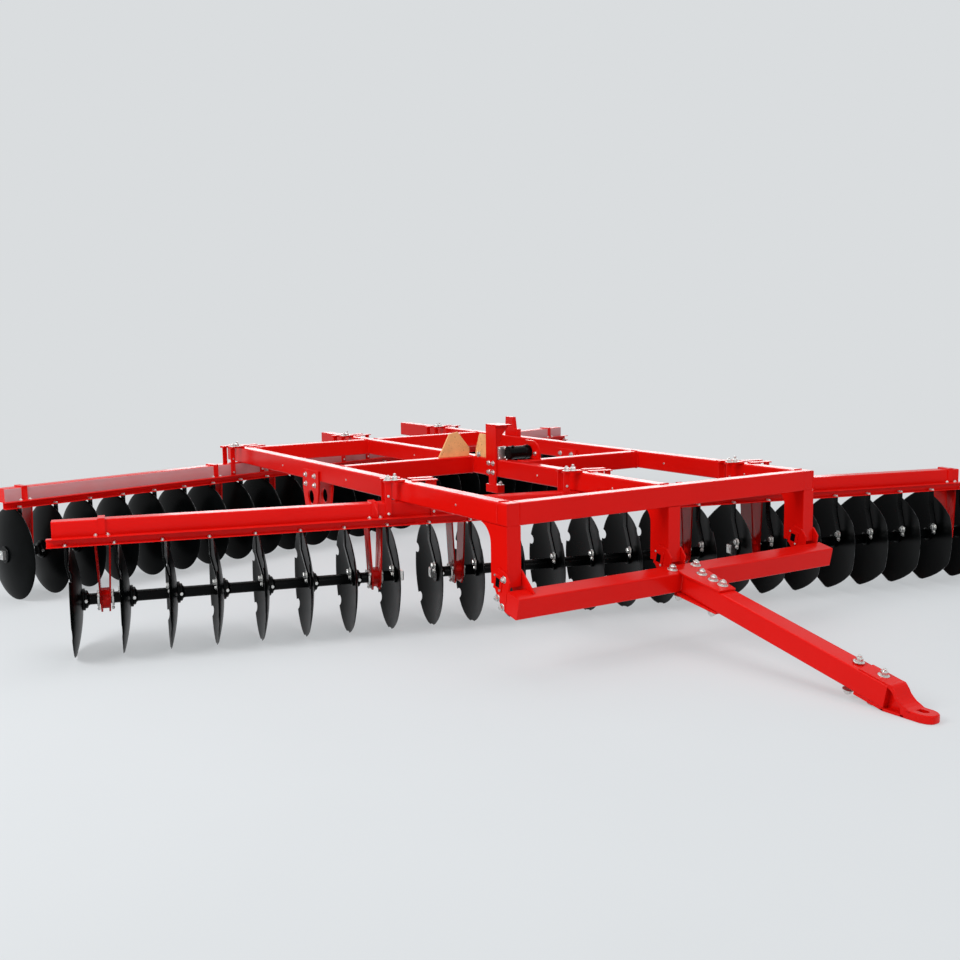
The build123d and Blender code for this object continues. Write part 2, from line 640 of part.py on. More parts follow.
def make_mast():
    """A short box post on the centre rail, a plate on its right side and a flat head."""
    back = MAST_FRONT_X - MAST_DEPTH
    right = -RAIL_WIDTH / 2
    left = right + MAST_WIDTH
    head_bottom = FRAME_TOP + MAST_HEIGHT - MAST_HEAD
    post = block(back, MAST_FRONT_X, right, left, FRAME_TOP, head_bottom)
    side = block(back, MAST_FRONT_X, right - MAST_SIDE_PLATE, right, FRAME_BOTTOM, head_bottom)
    head = block(back, MAST_FRONT_X + MAST_HEAD_AHEAD, right - MAST_SIDE_PLATE, left + MAST_HEAD_LEFT,
                 head_bottom, head_bottom + MAST_HEAD)
    return post + side + head


def make_corner_gussets():
    """Two bare plates that stand in the corner of the middle beam and the centre rail."""
    inner = -RAIL_WIDTH / 2 - GUSSET_PLATE / 2
    outer = inner - GUSSET_BASE
    top = inner - GUSSET_BASE * GUSSET_NARROW
    across = Polyline((0, outer, 0), (0, inner, 0), (0, inner, GUSSET_CUT),
                      (0, top + GUSSET_PLATE, GUSSET_HEIGHT),
                      (0, top - GUSSET_CUT, GUSSET_HEIGHT - GUSSET_PLATE), close=True)
    plate = extrude(make_face(across), amount=GUSSET_PLATE, dir=(-1, 0, 0))
    gussets = Pos(MID_BEAM_RIGHT_X - RAIL_WIDTH / 2, 0, FRAME_TOP) * plate
    start = MID_BEAM_RIGHT_X
    along = [(start, 0), (start + GUSSET_ALONG, 0),
             (start + GUSSET_ALONG - GUSSET_PLATE, GUSSET_HEIGHT - GUSSET_PLATE),
             (start + GUSSET_CUT, GUSSET_HEIGHT - GUSSET_PLATE), (start + GUSSET_PLATE, GUSSET_CUT)]
    right = -RAIL_WIDTH / 3
    gussets += Pos(0, 0, FRAME_TOP) * side_profile(along, right, right + GUSSET_PLATE)
    return gussets


def make_cylinder():
    """A short hydraulic cylinder that lies across the frame, from its head plate at the mast to its lug."""
    right = -RAIL_WIDTH / 2
    head = block(MAST_FRONT_X, MAST_FRONT_X + CYLINDER_HEAD, right, right + CYLINDER_HEAD_WIDTH,
                 FRAME_TOP, FRAME_TOP + CYLINDER_HEAD_HEIGHT)
    start = right + CYLINDER_HEAD_WIDTH - CYLINDER_HEAD
    return head + round_bar(CYLINDER_RADIUS, start, CYLINDER_END_Y, CYLINDER_X, FRAME_TOP + CYLINDER_RADIUS)


def make_anchor():
    """A round-shouldered lug on the left middle beam that reaches back over the cylinder's end."""
    back = ANCHOR_FRONT_X - ANCHOR_LENGTH
    top = FRAME_TOP + ANCHOR_HEIGHT
    turn = ANCHOR_HEIGHT * 0.75
    outline = Polyline((ANCHOR_FRONT_X, 0, top - turn), (ANCHOR_FRONT_X, 0, FRAME_TOP), (back, 0, FRAME_TOP),
                       (back, 0, top), (ANCHOR_FRONT_X - turn, 0, top))
    shoulder = ThreePointArc((ANCHOR_FRONT_X - turn, 0, top),
                             (ANCHOR_FRONT_X - turn * 0.293, 0, top - turn * 0.293),
                             (ANCHOR_FRONT_X, 0, top - turn))
    face = Pos(0, CYLINDER_END_Y, 0) * make_face(outline + shoulder)
    return extrude(face, amount=ANCHOR_PLATE, dir=(0, 1, 0))


def make_rear_lug():
    """An upright lug on the left rail, with a low foot ahead of it."""
    tall = LUG_LENGTH * 0.6
    points = [(0, 0), (LUG_PLATE / 3, LUG_HEIGHT), (tall, LUG_HEIGHT),
              (tall + LUG_PLATE / 2, LUG_FOOT_HEIGHT), (LUG_LENGTH, LUG_FOOT_HEIGHT), (LUG_LENGTH, 0)]
    return Pos(LUG_X, 0, FRAME_TOP) * side_profile(points, RAIL_Y - LUG_PLATE / 2, RAIL_Y + LUG_PLATE / 2)


def make_corner_bracket():
    """Two ears behind the front beam, beside the right rail."""
    ears = Part()
    y = -RAIL_Y + RAIL_WIDTH / 2 + EAR_SPACING
    beam_back = -RAIL_WIDTH
    points = [(0, EAR_FOOT), (0, RAIL_HEIGHT), (-0.25 * EAR_LENGTH, RAIL_HEIGHT + EAR_RISE),
              (-0.7 * EAR_LENGTH, RAIL_HEIGHT + EAR_RISE), (-EAR_LENGTH, RAIL_HEIGHT),
              (-0.75 * EAR_LENGTH, RAIL_HEIGHT / 2)]
    for side in (-1, 1):
        right = y + side * EAR_SPACING / 2 - EAR_PLATE / 2
        ears += Pos(beam_back, 0, FRAME_BOTTOM) * side_profile(points, right, right + EAR_PLATE)
    return ears


def build():
    """All nodes by name, still with x = 0 at the frame's front face."""
    parts = {}
    parts.update(make_rails())
    parts.update(make_cross_beams())
    for name, y in (("post_right", -RAIL_Y), ("post_centre", 0), ("post_left", RAIL_Y)):
        parts[name] = make_post(y)
    for row in GANG_ROWS:
        parts[f"{row}_gang_beam"] = make_gang_beam(row)
        parts[f"{row}_hangers"] = make_hangers(row)
        parts[f"{row}_scraper_bar"] = make_scraper_bar(row)
        parts[f"{row}_scrapers"] = make_scrapers(row)
        parts[f"{row}_clamps"] = make_row_clamps(row)
        for gang, (side, turn) in enumerate(GANG_TURNS.items()):
            axle, discs = make_gang(row, gang, turn)
            parts[f"{row}_{side}_axle"] = axle
            parts[f"{row}_{side}_discs"] = discs
    parts["hitch_beam"] = lowered(make_hitch_beam())
    parts["hitch_cheeks"] = lowered(make_hitch_cheeks())
    parts["pivot_pins"] = lowered(make_pivot_pins())
    parts["drawbar"] = lowered(make_drawbar())
    parts["root_plates"] = lowered(make_root_plates())
    parts["tongue"] = lowered(make_tongue())
    parts["rocker_brackets"] = make_rocker_brackets()
    parts["mast"] = make_mast()
    parts["corner_gussets"] = make_corner_gussets()
    parts["lift_cylinder"] = make_cylinder()
    parts["cylinder_anchor"] = make_anchor()
    parts["rear_lug"] = make_rear_lug()
    parts["corner_bracket"] = make_corner_bracket()
    return parts


def main():
    parts = build()
    os.makedirs("parts", exist_ok=True)
    boxes = [shape.bounding_box() for shape in parts.values()]
    middle_x = (min(box.min.X for box in boxes) + max(box.max.X for box in boxes)) / 2
    middle_y = (min(box.min.Y for box in boxes) + max(box.max.Y for box in boxes)) / 2
    for name, shape in parts.items():
        export_step(Pos(-middle_x, -middle_y, 0) * shape, f"parts/{name}.step")
    print(f"frame's front face at x = {-middle_x:.3f}, its middle at y = {-middle_y:.3f}")
    print(f"the drawbar's dip at rest is {rest_dip():.4f} degrees")
    print(f"lowest point {min(box.min.Z for box in boxes):.4f}")


main()
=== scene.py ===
"""Offset disc harrow: paint, bolts, welds and finished discs around its CAD model.

Metres in the scene, millimetres in the shapes. +X is the direction of travel, +Y the machine's
left and +Z up, as in the CAD model.
"""
import math
import random
from collections import namedtuple

import bmesh
import bpy
from bpy.props import FloatProperty, FloatVectorProperty, IntProperty, PointerProperty
from mathutils import Matrix, Vector


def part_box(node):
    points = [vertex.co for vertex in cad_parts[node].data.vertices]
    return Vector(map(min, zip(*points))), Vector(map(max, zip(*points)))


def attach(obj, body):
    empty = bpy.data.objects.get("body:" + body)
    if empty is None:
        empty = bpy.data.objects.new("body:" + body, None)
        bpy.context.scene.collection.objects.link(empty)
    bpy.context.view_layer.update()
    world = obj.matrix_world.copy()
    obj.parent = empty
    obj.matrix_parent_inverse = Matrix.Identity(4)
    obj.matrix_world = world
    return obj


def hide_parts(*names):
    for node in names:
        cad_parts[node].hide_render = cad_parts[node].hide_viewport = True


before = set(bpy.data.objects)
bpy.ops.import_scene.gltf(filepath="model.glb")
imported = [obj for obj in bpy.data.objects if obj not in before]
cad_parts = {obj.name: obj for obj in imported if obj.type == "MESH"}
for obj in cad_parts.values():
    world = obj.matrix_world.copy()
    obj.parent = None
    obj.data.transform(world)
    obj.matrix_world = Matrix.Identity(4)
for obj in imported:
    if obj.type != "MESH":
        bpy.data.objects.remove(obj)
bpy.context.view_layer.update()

bl_info = {
    "name": "Disc harrow finish",
    "version": (1, 0, 0),
    "blender": (4, 5, 0),
    "location": "3D View > Sidebar > Disc harrow",
    "description": "Dresses the CAD model of an offset disc harrow in paint, bolts, welds and finished discs",
    "category": "Object",
}

MM = 0.001
UP, DOWN = (0, 0, 1), (0, 0, -1)
SIDES = (-1, 1)
QUARTER = Matrix.Rotation(math.pi / 2, 4, "Z")


def corners(node):
    """A CAD node's lowest and highest corner, in millimetres."""
    low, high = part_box(node)
    return low / MM, high / MM


BEAM_LOW, BEAM_HIGH = corners("front_beam")
FRAME_TOP = BEAM_HIGH.z
FRAME_BOTTOM = BEAM_LOW.z
# The point that the harrow's own sizes are measured from: the front beam's face, on its middle line
ZERO = Matrix.Translation((BEAM_HIGH.x, (BEAM_LOW.y + BEAM_HIGH.y) / 2, 0))

# Roundings that differ from the panel's plate edge: of strips, cut plates, forgings, posts, and the black slabs
# of painted shade for the sockets
THIN_EDGE, CUT_EDGE, FORGED_EDGE, HEAVY_EDGE, PAINTED_SOCKET_SHADE_EDGE = 1.5, 2.5, 3, 4, 0.5
# Sizes across the flats of the bolt heads and plugs that have none of the panel's sizes
ROOT_BOLT, TONGUE_BOLT, CHEEK_BOLT = 36, 34, 24
MAST_FOOT_BOLT, MAST_BOLT = 26, 22
CLAMP_NUT, AXLE_NUT = 32, 62
PLUG, RAIL_PLUG = 15, 12

RAIL_WIDTH = 90
RAIL_Y = 1138
RAILS = (-RAIL_Y, 0, RAIL_Y)
# The two low ears behind the front beam: their middle, how far each stands from it, and their thickness
EARS_Y, EARS_APART, EAR = -1003, 45, 12

# The hitch, measured from its pivot; its cross tube lies ahead of the pivot and its top below it
PIVOT = (-76, 0, 495)
HITCH_DIP = 12.1030
HITCH_TUBE = 120
HITCH_AHEAD = 110
HITCH_RISE = -10
HITCH_LOW = HITCH_RISE - HITCH_TUBE
HITCH_OVERHANG = 26
CHEEK, CHEEK_GAP = 12, 3
CHEEK_FACE = RAIL_WIDTH / 2 + CHEEK_GAP + CHEEK
DRAWBAR_LENGTH = 1450
DRAWBAR_ROOT = HITCH_AHEAD + HITCH_TUBE
DRAWBAR_END = DRAWBAR_ROOT + DRAWBAR_LENGTH
ROOT_PLATE = 12
# The tongue's upper strap and lower plate, and how far both reach back over the drawbar
TONGUE_STRAP = 7
TONGUE_PLATE = 16
TONGUE_GRIP = 180
TONGUE_WIDTH = 110
TONGUE_WEB = 40
TONGUE_NOSE = 260
TONGUE_NOSE_HEIGHT = 42
PIN_RADIUS, PIN_PROUD = 17.5, 0.3
# Half sizes, along X and Z, of the plates that keep the pivot pins, and of the black slabs on them: painted
# shade for the pins' sockets
KEEPER, KEEPER_THICK = (38, 44), 6
PAINTED_SOCKET_SHADE = (18, 25)
# How far the keepers stand ahead of the pins
KEEPER_AHEAD = 12

GANG_TUBE = 100
GANG_LENGTH = 6190
GANG_BOTTOM = 700
ARBOR_Z = 330
# From a hanger's middle to its bearings' faces, and to the bolts before and behind the beam
HANGER_FOOT_FACE = 35
HANGER_BOLT_Y = 34
HANGER_SEAT = (14, -GANG_TUBE - 16)
HANGER_PLATE = 12
BEARING_BORE, BEARING_RING, BEARING_THICK = 35, 47, 12
END_WASHER = 59
SCRAPER_HOLLOW_GAP = 28
SCRAPER_ARM = 10
SCRAPER_BAR_FLOOR = 668
# How far the clamp straps stand from the rail's middle line, on the machine's right and left
CLAMP_REACH = {-1: 129, 1: 158}
CLAMP_STRAP = 10
CLAMP_STRAP_HALF = 20
# Thickness of the plates on top of the rail, on the right and on the left
CLAMP_PLATE = {-1: 15, 1: 7}
CLAMP_PLATE_HALF = 26

MAST_FRONT_X = -1827
MAST_DEPTH = 133
MAST_HEIGHT = 250
MAST_HEAD = 10
MAST_HEAD_PROUD = 37
MAST_PLATE = 12
MAST_LEG_FOOT = 690
MAST_FOOT_TOP = MAST_LEG_FOOT + 52
CYLINDER_X = -1775
CYLINDER_START_Y, CYLINDER_END_Y = 10, 195
CYLINDER_RADIUS = 48
CYLINDER_HEAD = 15

DISCS_PER_GANG = 8
DISC_SPACING = 265.5
DISC_THICKNESS = 6
# Shares of a disc's radius where its dish has a ring of points
DISC_RINGS = (0.09, 0.19, 0.3, 0.42, 0.55, 0.68, 0.8, 0.86)
# How far in from the rim the hollow is worn bright, and the back is ground to an edge
RIM_WEAR, RIM_GROUND = 4, 9
# Samples round a plain rim, across a notch, and between two notches
RIM_STEPS, NOTCH_STEPS, TOOTH_STEPS = 96, 8, 10
# The left gang's notches are worn to long flats: half their angle, and how deep they are cut against a
# straight chord, because they keep some of the round
FLAT_HALF, FLAT_SHARE = 27, 0.6
# The range in degrees from straight down, towards the front, where the other gangs' notches are rubbed to
# a share of their depth
RUBBED_FROM, RUBBED_TO = -20, 100
RUBBED_SHARE = 0.18
# For each gang from the right, where its first notch is, in degrees from straight down towards the front
GANG_TURNS = {"right": 6.5, "centre": 10, "left": 30}

# Gang row: x of its beam's front face, slant, first disc, start of its beam, and the hollow's side
Row = namedtuple("Row", "face_x slant first_disc beam_start hollow")
ROWS = {
    "front": Row(-859, -15, -3121, -3260, -1),
    "rear": Row(-4256, 15, -3199, -3210, 1),
}

# The camera: its place in metres, its azimuth, pitch and roll in degrees, and its lens
CAMERA_PLACE = (6.7509, -4.3502, 1.8213)
CAMERA_TURNS = (32.2486, -7.3331, -0.83)
CAMERA_LENS, CAMERA_SENSOR = 42.528, 36
# name: place, what it points at, width and depth in metres, and power in watts
LAMPS = {
    "key": ((1.5, -8.5, 6.0), (-0.5, 0, 0.6), 5.0, 4.0, 560),
    "top": ((-1.0, 0.5, 8.5), (-0.5, 0, 0.5), 8.0, 8.0, 260),
    "front": ((9.0, 0.5, 4.0), (0, 0, 0.5), 4.0, 3.0, 170),
    "rim": ((-13.0, 8.5, 3.6), (-0.5, 0, 0.8), 14.0, 3.0, 380),
}
SKY_FILL, SKY_STRENGTH = "#E8EDF2", 0.5
# How much of the floor's own light and shade shows up to the first distance from the harrow's middle, in
# metres; past the second one there is only the backdrop's plain tone
FLOOR_SHADOW, FLOOR_NEAR, FLOOR_FAR = 0.45, 3.5, 9.0
FLOOR_HALF, FLOOR_DROP = 60, 0.001


def row_place(row):
    """From a row's own frame, forward along X and along the row on Y, to the model's frame."""
    start = Matrix.Translation((ROWS[row].face_x, 0, 0))
    return ZERO @ start @ Matrix.Rotation(math.radians(ROWS[row].slant), 4, "Z")


def arbor_place(row, y):
    """A point of a row's axle line, in the model's frame."""
    return row_place(row) @ Matrix.Translation((-GANG_TUBE / 2, y, ARBOR_Z))


HITCH = ZERO @ Matrix.Translation(PIVOT) @ Matrix.Rotation(math.radians(HITCH_DIP), 4, "Y")


def linear(code):
    """Linear RGB of an sRGB hex colour."""
    values = [int(code[start:start + 2], 16) / 255 for start in (1, 3, 5)]
    return tuple(v / 12.92 if v <= 0.04045 else ((v + 0.055) / 1.055) ** 2.4 for v in values)


def colour(name, code, description):
    """A colour of the panel, from its sRGB hex code."""
    return FloatVectorProperty(name=name, description=description, default=linear(code), size=3,
                               min=0, max=1, subtype="COLOR")


def length(name, millimetres, description):
    """A length of the panel."""
    return FloatProperty(name=name, description=description, default=millimetres * MM, min=0,
                         precision=4, unit="LENGTH", subtype="DISTANCE")


class HarrowSizes(bpy.types.PropertyGroup):
    tube_corner: length("Tube corner", 9, "Outer corner radius of the rolled square tubes")
    plate_edge: length("Plate edge", 2, "Rounding of the thin plates' edges under the paint")
    weld: length("Weld bead", 6, "Half width of the weld beads between tubes and plates")
    disc_radius: length("Disc radius", 330, "From the axle's middle to a disc's rim")
    disc_dish: length("Disc dish", 50, "How far a disc's rim stands ahead of its hub")
    notch_depth: length("Notch depth", 36, "How deep the front discs' notches are")
    notch_width: length("Notch width", 70, "How wide a notch is at the rim")
    notches: IntProperty(name="Notches", description="Notches in each front disc", default=6, min=1, max=24)
    spool_radius: length("Spool radius", 33, "Radius of the spools between the discs")
    hub_radius: length("Hub radius", 64, "Radius of the spools' wide flange on a disc's back")
    bolt: length("Bolt head", 30, "Across the flats of the scrapers' and gussets' bolt heads")
    small_bolt: length("Small bolt head", 19, "Across the flats of the brackets' and hubs' bolt heads")


class HarrowColours(bpy.types.PropertyGroup):
    paint: colour("Red enamel", "#DE1009", "The frame's gloss enamel")
    paint_dust: colour("Dusty enamel", "#C2241C", "The enamel where a little dust lies on it")
    dust: colour("Field dust", "#C9A0A2", "The dry dust on the rear gang beam's front side")
    black: colour("Black enamel", "#030404", "The discs' and spools' enamel")
    black_dust: colour("Dusty black", "#0A0C0D", "The black enamel where dust lies on it")
    zinc: colour("Zinc plate", "#E9E8E4", "Bolts, nuts and bearing rings")
    zinc_dark: colour("Dull zinc", "#BDBEBD", "The plating in its hollows")
    passivated: colour("Yellow passivate", "#E6B277", "The bare gusset plates")
    rust: colour("Rust", "#6B3A20", "Specks on the bare plates")
    steel: colour("Bare steel", "#9A9C9E", "The discs' rims, where the enamel has rubbed off")
    floor: colour("Floor", "#DADDDF", "The studio's floor")
    backdrop: colour("Backdrop", "#DADDDF", "What the camera sees behind the harrow")


def size(name):
    """One of the panel's sizes, in millimetres."""
    return getattr(bpy.context.scene.harrow_sizes, name) / MM


# Materials


def add(tree, kind, links=None, stops=(), **settings):
    """Adds a shader node with its settings, and a colour ramp's two stops of (position, colour or grey).

    links gives each input a node, whose first output is taken, or a socket, or a plain value.
    """
    made = tree.nodes.new("ShaderNode" + kind)
    for name, value in settings.items():
        setattr(made, name, value)
    if stops:
        for element, (position, shade) in zip(made.color_ramp.elements, stops):
            element.position = position
            element.color = (*(shade if hasattr(shade, "__len__") else (shade,) * 3), 1)
    for key, value in (links or {}).items():
        if isinstance(value, bpy.types.Node):
            value = value.outputs[0]
        if isinstance(value, bpy.types.NodeSocket):
            tree.links.new(value, made.inputs[key])
        else:
            made.inputs[key].default_value = value
    return made


def scaled(shade, share):
    """A colour made darker, or paler up to white."""
    return tuple(min(1, share * c) for c in shade)


def patches(tree, size_mm, detail=3, roughness=0.5):
    """Noise over a piece's own coordinates, whose patches are about that many millimetres across."""
    place = add(tree, "TexCoord").outputs["Object"]
    return add(tree, "TexNoise", {"Vector": place, "Scale": 1 / (size_mm * MM), "Detail": detail,
                                  "Roughness": roughness})


def surface(tree, links, bump, height, strength):
    """The Principled shader, with a bump of that height in metres, wired to the output."""
    raised = add(tree, "Bump", {"Height": bump, "Strength": strength, "Distance": height})
    shader = add(tree, "BsdfPrincipled", {**links, "Normal": raised})
    add(tree, "OutputMaterial", {"Surface": shader})


def upward(tree):
    """1 on faces that look up, 0 on the others."""
    normal = add(tree, "NewGeometry").outputs["Normal"]
    z = add(tree, "SeparateXYZ", {"Vector": normal}).outputs["Z"]
    return add(tree, "MapRange", {"Value": z, "From Min": 0.3, "From Max": 0.95})


def seen_rays(tree):
    """1 for what the camera sees, straight or in gloss, and 0 for light that bounces off matt faces."""
    path = add(tree, "LightPath")
    return add(tree, "Math", {0: path.outputs["Is Camera Ray"], 1: path.outputs["Is Glossy Ray"]},
               operation="MAXIMUM")


# The enamel's clear binder
BINDER = {"IOR": 1.45, "Specular IOR Level": 0.15}


def red_enamel(tree, look):
    """Two-pack polyurethane enamel, sprayed: an even deep red with a wet gloss, and a little dust on top."""
    clouds, dust = patches(tree, 420), patches(tree, 140)
    tops = add(tree, "Math", {0: upward(tree), 1: dust}, operation="MULTIPLY")
    base = add(tree, "ValToRGB", {"Fac": clouds}, [(0.3, look.paint), (0.75, scaled(look.paint, 0.93))])
    dusty = add(tree, "ValToRGB", {"Fac": tops}, [(0.3, 0), (0.75, 0.2)])
    mixed = add(tree, "MixRGB", {"Fac": dusty, "Color1": base, "Color2": (*look.paint_dust, 1)})
    rough = add(tree, "ValToRGB", {"Fac": dust}, [(0.3, 0.2), (0.75, 0.27)])
    # orange peel is about 3 mm between crests; drawn at 16 mm so that it shows from across a yard
    surface(tree, {"Base Color": mixed, "Roughness": rough, **BINDER}, patches(tree, 16, 1), 0.0003, 0.04)


def dusty_enamel(tree, look):
    """The same enamel with a film of dry field dust on the side that faces forward: a pale dull pink."""
    streaks = patches(tree, 320, 5, 0.6)
    normal = add(tree, "NewGeometry").outputs["Normal"]
    slant = math.radians(ROWS["rear"].slant)
    towards = add(tree, "VectorMath", {0: normal, 1: (math.cos(slant), math.sin(slant), 0)},
                  operation="DOT_PRODUCT").outputs["Value"]
    facing_on = add(tree, "MapRange", {"Value": towards, "From Min": 0.6, "From Max": 0.95})
    film = add(tree, "ValToRGB", {"Fac": streaks}, [(0.3, 0.75), (0.7, 0.95)])
    cover = add(tree, "Math", {0: facing_on, 1: film}, operation="MULTIPLY")
    mixed = add(tree, "MixRGB", {"Fac": cover, "Color1": (*look.paint, 1), "Color2": (*look.dust, 1)})
    rough = add(tree, "ValToRGB", {"Fac": cover}, [(0, 0.24), (0.8, 0.5)])
    surface(tree, {"Base Color": mixed, "Roughness": rough, **BINDER}, streaks, 0.0003, 0.04)


def disc_enamel(tree, look):
    """Dull black disc enamel with a thin film of oil: almost no sheen but towards the light."""
    film = patches(tree, 160)
    base = add(tree, "ValToRGB", {"Fac": film}, [(0.4, look.black), (0.8, look.black_dust)])
    rough = add(tree, "ValToRGB", {"Fac": film}, [(0.3, 0.27), (0.8, 0.33)])
    surface(tree, {"Base Color": base, "Roughness": rough, "IOR": 1.4, "Specular IOR Level": 0.045},
            film, 0.0008, 0.06)


def black_enamel(tree, look):
    """Air-drying black enamel, dipped: runs to a smooth gloss that goes grey where it faces the floor."""
    dust = patches(tree, 90, 4, 0.55)
    base = add(tree, "ValToRGB", {"Fac": dust}, [(0.4, look.black), (0.8, look.black_dust)])
    rough = add(tree, "ValToRGB", {"Fac": dust}, [(0.3, 0.24), (0.8, 0.34)])
    surface(tree, {"Base Color": base, "Roughness": rough, "IOR": 1.4, "Specular IOR Level": 0.12},
            patches(tree, 120, 2), 0.001, 0.12)


def zinc_plate(tree, look):
    """Cold-headed steel bolts, zinc plated: bright, slightly clouded metal."""
    clouds = patches(tree, 14, 4, 0.6)
    base = add(tree, "ValToRGB", {"Fac": clouds}, [(0.3, look.zinc), (0.75, look.zinc_dark)])
    rough = add(tree, "ValToRGB", {"Fac": clouds}, [(0.3, 0.26), (0.8, 0.44)])
    surface(tree, {"Base Color": base, "Metallic": 1.0, "Roughness": rough}, clouds, 0.0004, 0.15)


def passivated_plate(tree, look):
    """Flame-cut steel plate, yellow passivated: a tan metal sheen with a few rust specks."""
    clouds, specks = patches(tree, 70, 5, 0.6), patches(tree, 12, 3, 0.7)
    base = add(tree, "ValToRGB", {"Fac": clouds}, [(0.3, scaled(look.passivated, 1.25)),
                                                   (0.7, look.passivated)])
    spots = add(tree, "ValToRGB", {"Fac": specks}, [(0.62, 0), (0.7, 0.85)])
    mixed = add(tree, "MixRGB", {"Fac": spots, "Color1": base, "Color2": (*look.rust, 1)})
    rough = add(tree, "ValToRGB", {"Fac": specks}, [(0.4, 0.4), (0.7, 0.75)])
    surface(tree, {"Base Color": mixed, "Metallic": 0.2, "Roughness": rough}, specks, 0.0006, 0.25)


def worn_edge(tree, look):
    """The discs' edge, where the black enamel has rubbed to dark steel: a dull thin line of light."""
    rubbed = patches(tree, 40, 4, 0.6)
    base = add(tree, "ValToRGB", {"Fac": rubbed}, [(0.35, scaled(look.steel, 0.45)), (0.6, look.black)])
    rough = add(tree, "ValToRGB", {"Fac": rubbed}, [(0.3, 0.4), (0.8, 0.6)])
    surface(tree, {"Base Color": base, "Metallic": 0.8, "Roughness": rough}, rubbed, 0.0003, 0.1)


def painted_floor(tree, look):
    """A studio floor in matt paint, which keeps the shadows near the harrow and runs into the backdrop."""
    base = add(tree, "ValToRGB", {"Fac": patches(tree, 900, 2)}, [(0.3, look.floor),
                                                                  (0.7, scaled(look.floor, 0.98))])
    matt = add(tree, "BsdfDiffuse", {"Color": base})
    glow = add(tree, "Emission", {"Color": (*look.backdrop, 1), "Strength": 1.0})
    place = add(tree, "TexCoord").outputs["Object"]
    away = add(tree, "VectorMath", {0: place}, operation="LENGTH").outputs["Value"]
    near = add(tree, "MapRange", {"Value": away, "From Min": FLOOR_NEAR, "From Max": FLOOR_FAR,
                                  "To Min": FLOOR_SHADOW, "To Max": 0.0}, interpolation_type="SMOOTHSTEP")
    shown = add(tree, "MixShader", {"Fac": near, 1: glow, 2: matt})
    both = add(tree, "MixShader", {"Fac": seen_rays(tree), 1: matt, 2: shown})
    add(tree, "OutputMaterial", {"Surface": both})


# finish: (its material's name, what makes it, and the record's slot that it stands for)
FINISHES = {
    "paint": ("red_enamel_sprayed", red_enamel, "red_paint"),
    "dusty": ("red_enamel_dust_film", dusty_enamel, "red_paint"),
    "black": ("black_enamel_dipped", black_enamel, "black_paint"),
    "disc": ("black_disc_enamel", disc_enamel, "black_paint"),
    "zinc": ("zinc_plated_steel", zinc_plate, "zinc_steel"),
    "plate": ("yellow_passivated_plate", passivated_plate, "bare_plate"),
    "edge": ("rubbed_steel_edge", worn_edge, None),
    "floor": ("studio_floor_painted", painted_floor, None),
}


def finish_of(kind):
    """The material of a finish, made on its first use."""
    name, maker = FINISHES[kind][:2]
    made = bpy.data.materials.get(name)
    if not made:
        made = bpy.data.materials.new(name)
        made.use_nodes = True
        made.node_tree.nodes.clear()
        maker(made.node_tree, bpy.context.scene.harrow_colours)
    return made


# Shapes, all in millimetres


def piece(name, bm, kind, body, *nodes, sharp=35, second=None):
    """Turns a mesh in millimetres into a piece that rides on a body and stands for CAD nodes.

    The faces with material index 1 take the second finish.
    """
    bmesh.ops.recalc_face_normals(bm, faces=bm.faces)
    bm.transform(Matrix.Scale(MM, 4))
    mesh = bpy.data.meshes.new(name)
    for face in bm.faces:
        face.smooth = True
    bm.to_mesh(mesh)
    bm.free()
    mesh.set_sharp_from_angle(angle=math.radians(sharp))
    made = bpy.data.objects.new(name, mesh)
    bpy.context.scene.collection.objects.link(made)
    for finish in filter(None, (kind, second)):
        mesh.materials.append(finish_of(finish))
    shading = made.modifiers.new("even_shading", "WEIGHTED_NORMAL")
    shading.keep_sharp = True
    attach(made, body)
    if nodes:
        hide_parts(*nodes)
    return made


def ring_points(bm, place, points):
    """Vertices at some points of a place's frame."""
    return [bm.verts.new(place @ Vector(p)) for p in points]


def circle(along, radius, steps):
    """Points round the X axis."""
    turns = (2 * math.pi * n / steps for n in range(steps))
    return [(along, radius * math.cos(a), radius * math.sin(a)) for a in turns]


def skin(bm, rings, closed=False):
    """Faces between rings of points. The last ring joins the first, or else both ends get a face."""
    for lower, upper in zip(rings, rings[1:] + rings[:1] * closed):
        for n in range(len(lower)):
            m = (n + 1) % len(lower)
            bm.faces.new((lower[n], lower[m], upper[m], upper[n]))
    if not closed:
        bm.faces.new(rings[0][::-1])
        bm.faces.new(rings[-1])


def lathe(bm, place, profile, steps=32):
    """Turns (along, radius) points round the place's X axis into a closed body."""
    skin(bm, [ring_points(bm, place, circle(along, radius, steps)) for along, radius in profile])


def ring(bm, place, inner, outer, thick, steps=40):
    """A flat ring round the place's X axis, with its outer edges broken."""
    profile = [(-0.5, inner), (-0.5, outer), (thick - 2, outer), (thick, outer - 2), (thick, inner + 2),
               (thick - 2, inner)]
    rings = []
    for n in range(steps):
        a = 2 * math.pi * n / steps
        turned = [(along, r * math.cos(a), r * math.sin(a)) for along, r in profile]
        rings.append(ring_points(bm, place, turned))
    skin(bm, rings, True)


def rounded_outline(width, height, radius, steps=4):
    """Points (y, z) round a rectangle with round corners, about its middle."""
    points = []
    for corner, (y, z) in enumerate(((1, 1), (-1, 1), (-1, -1), (1, -1))):
        for n in range(steps + 1):
            a = math.radians(90 * corner + 90 * n / steps)
            points.append((y * (width / 2 - radius) + radius * math.cos(a),
                           z * (height / 2 - radius) + radius * math.sin(a)))
    return points


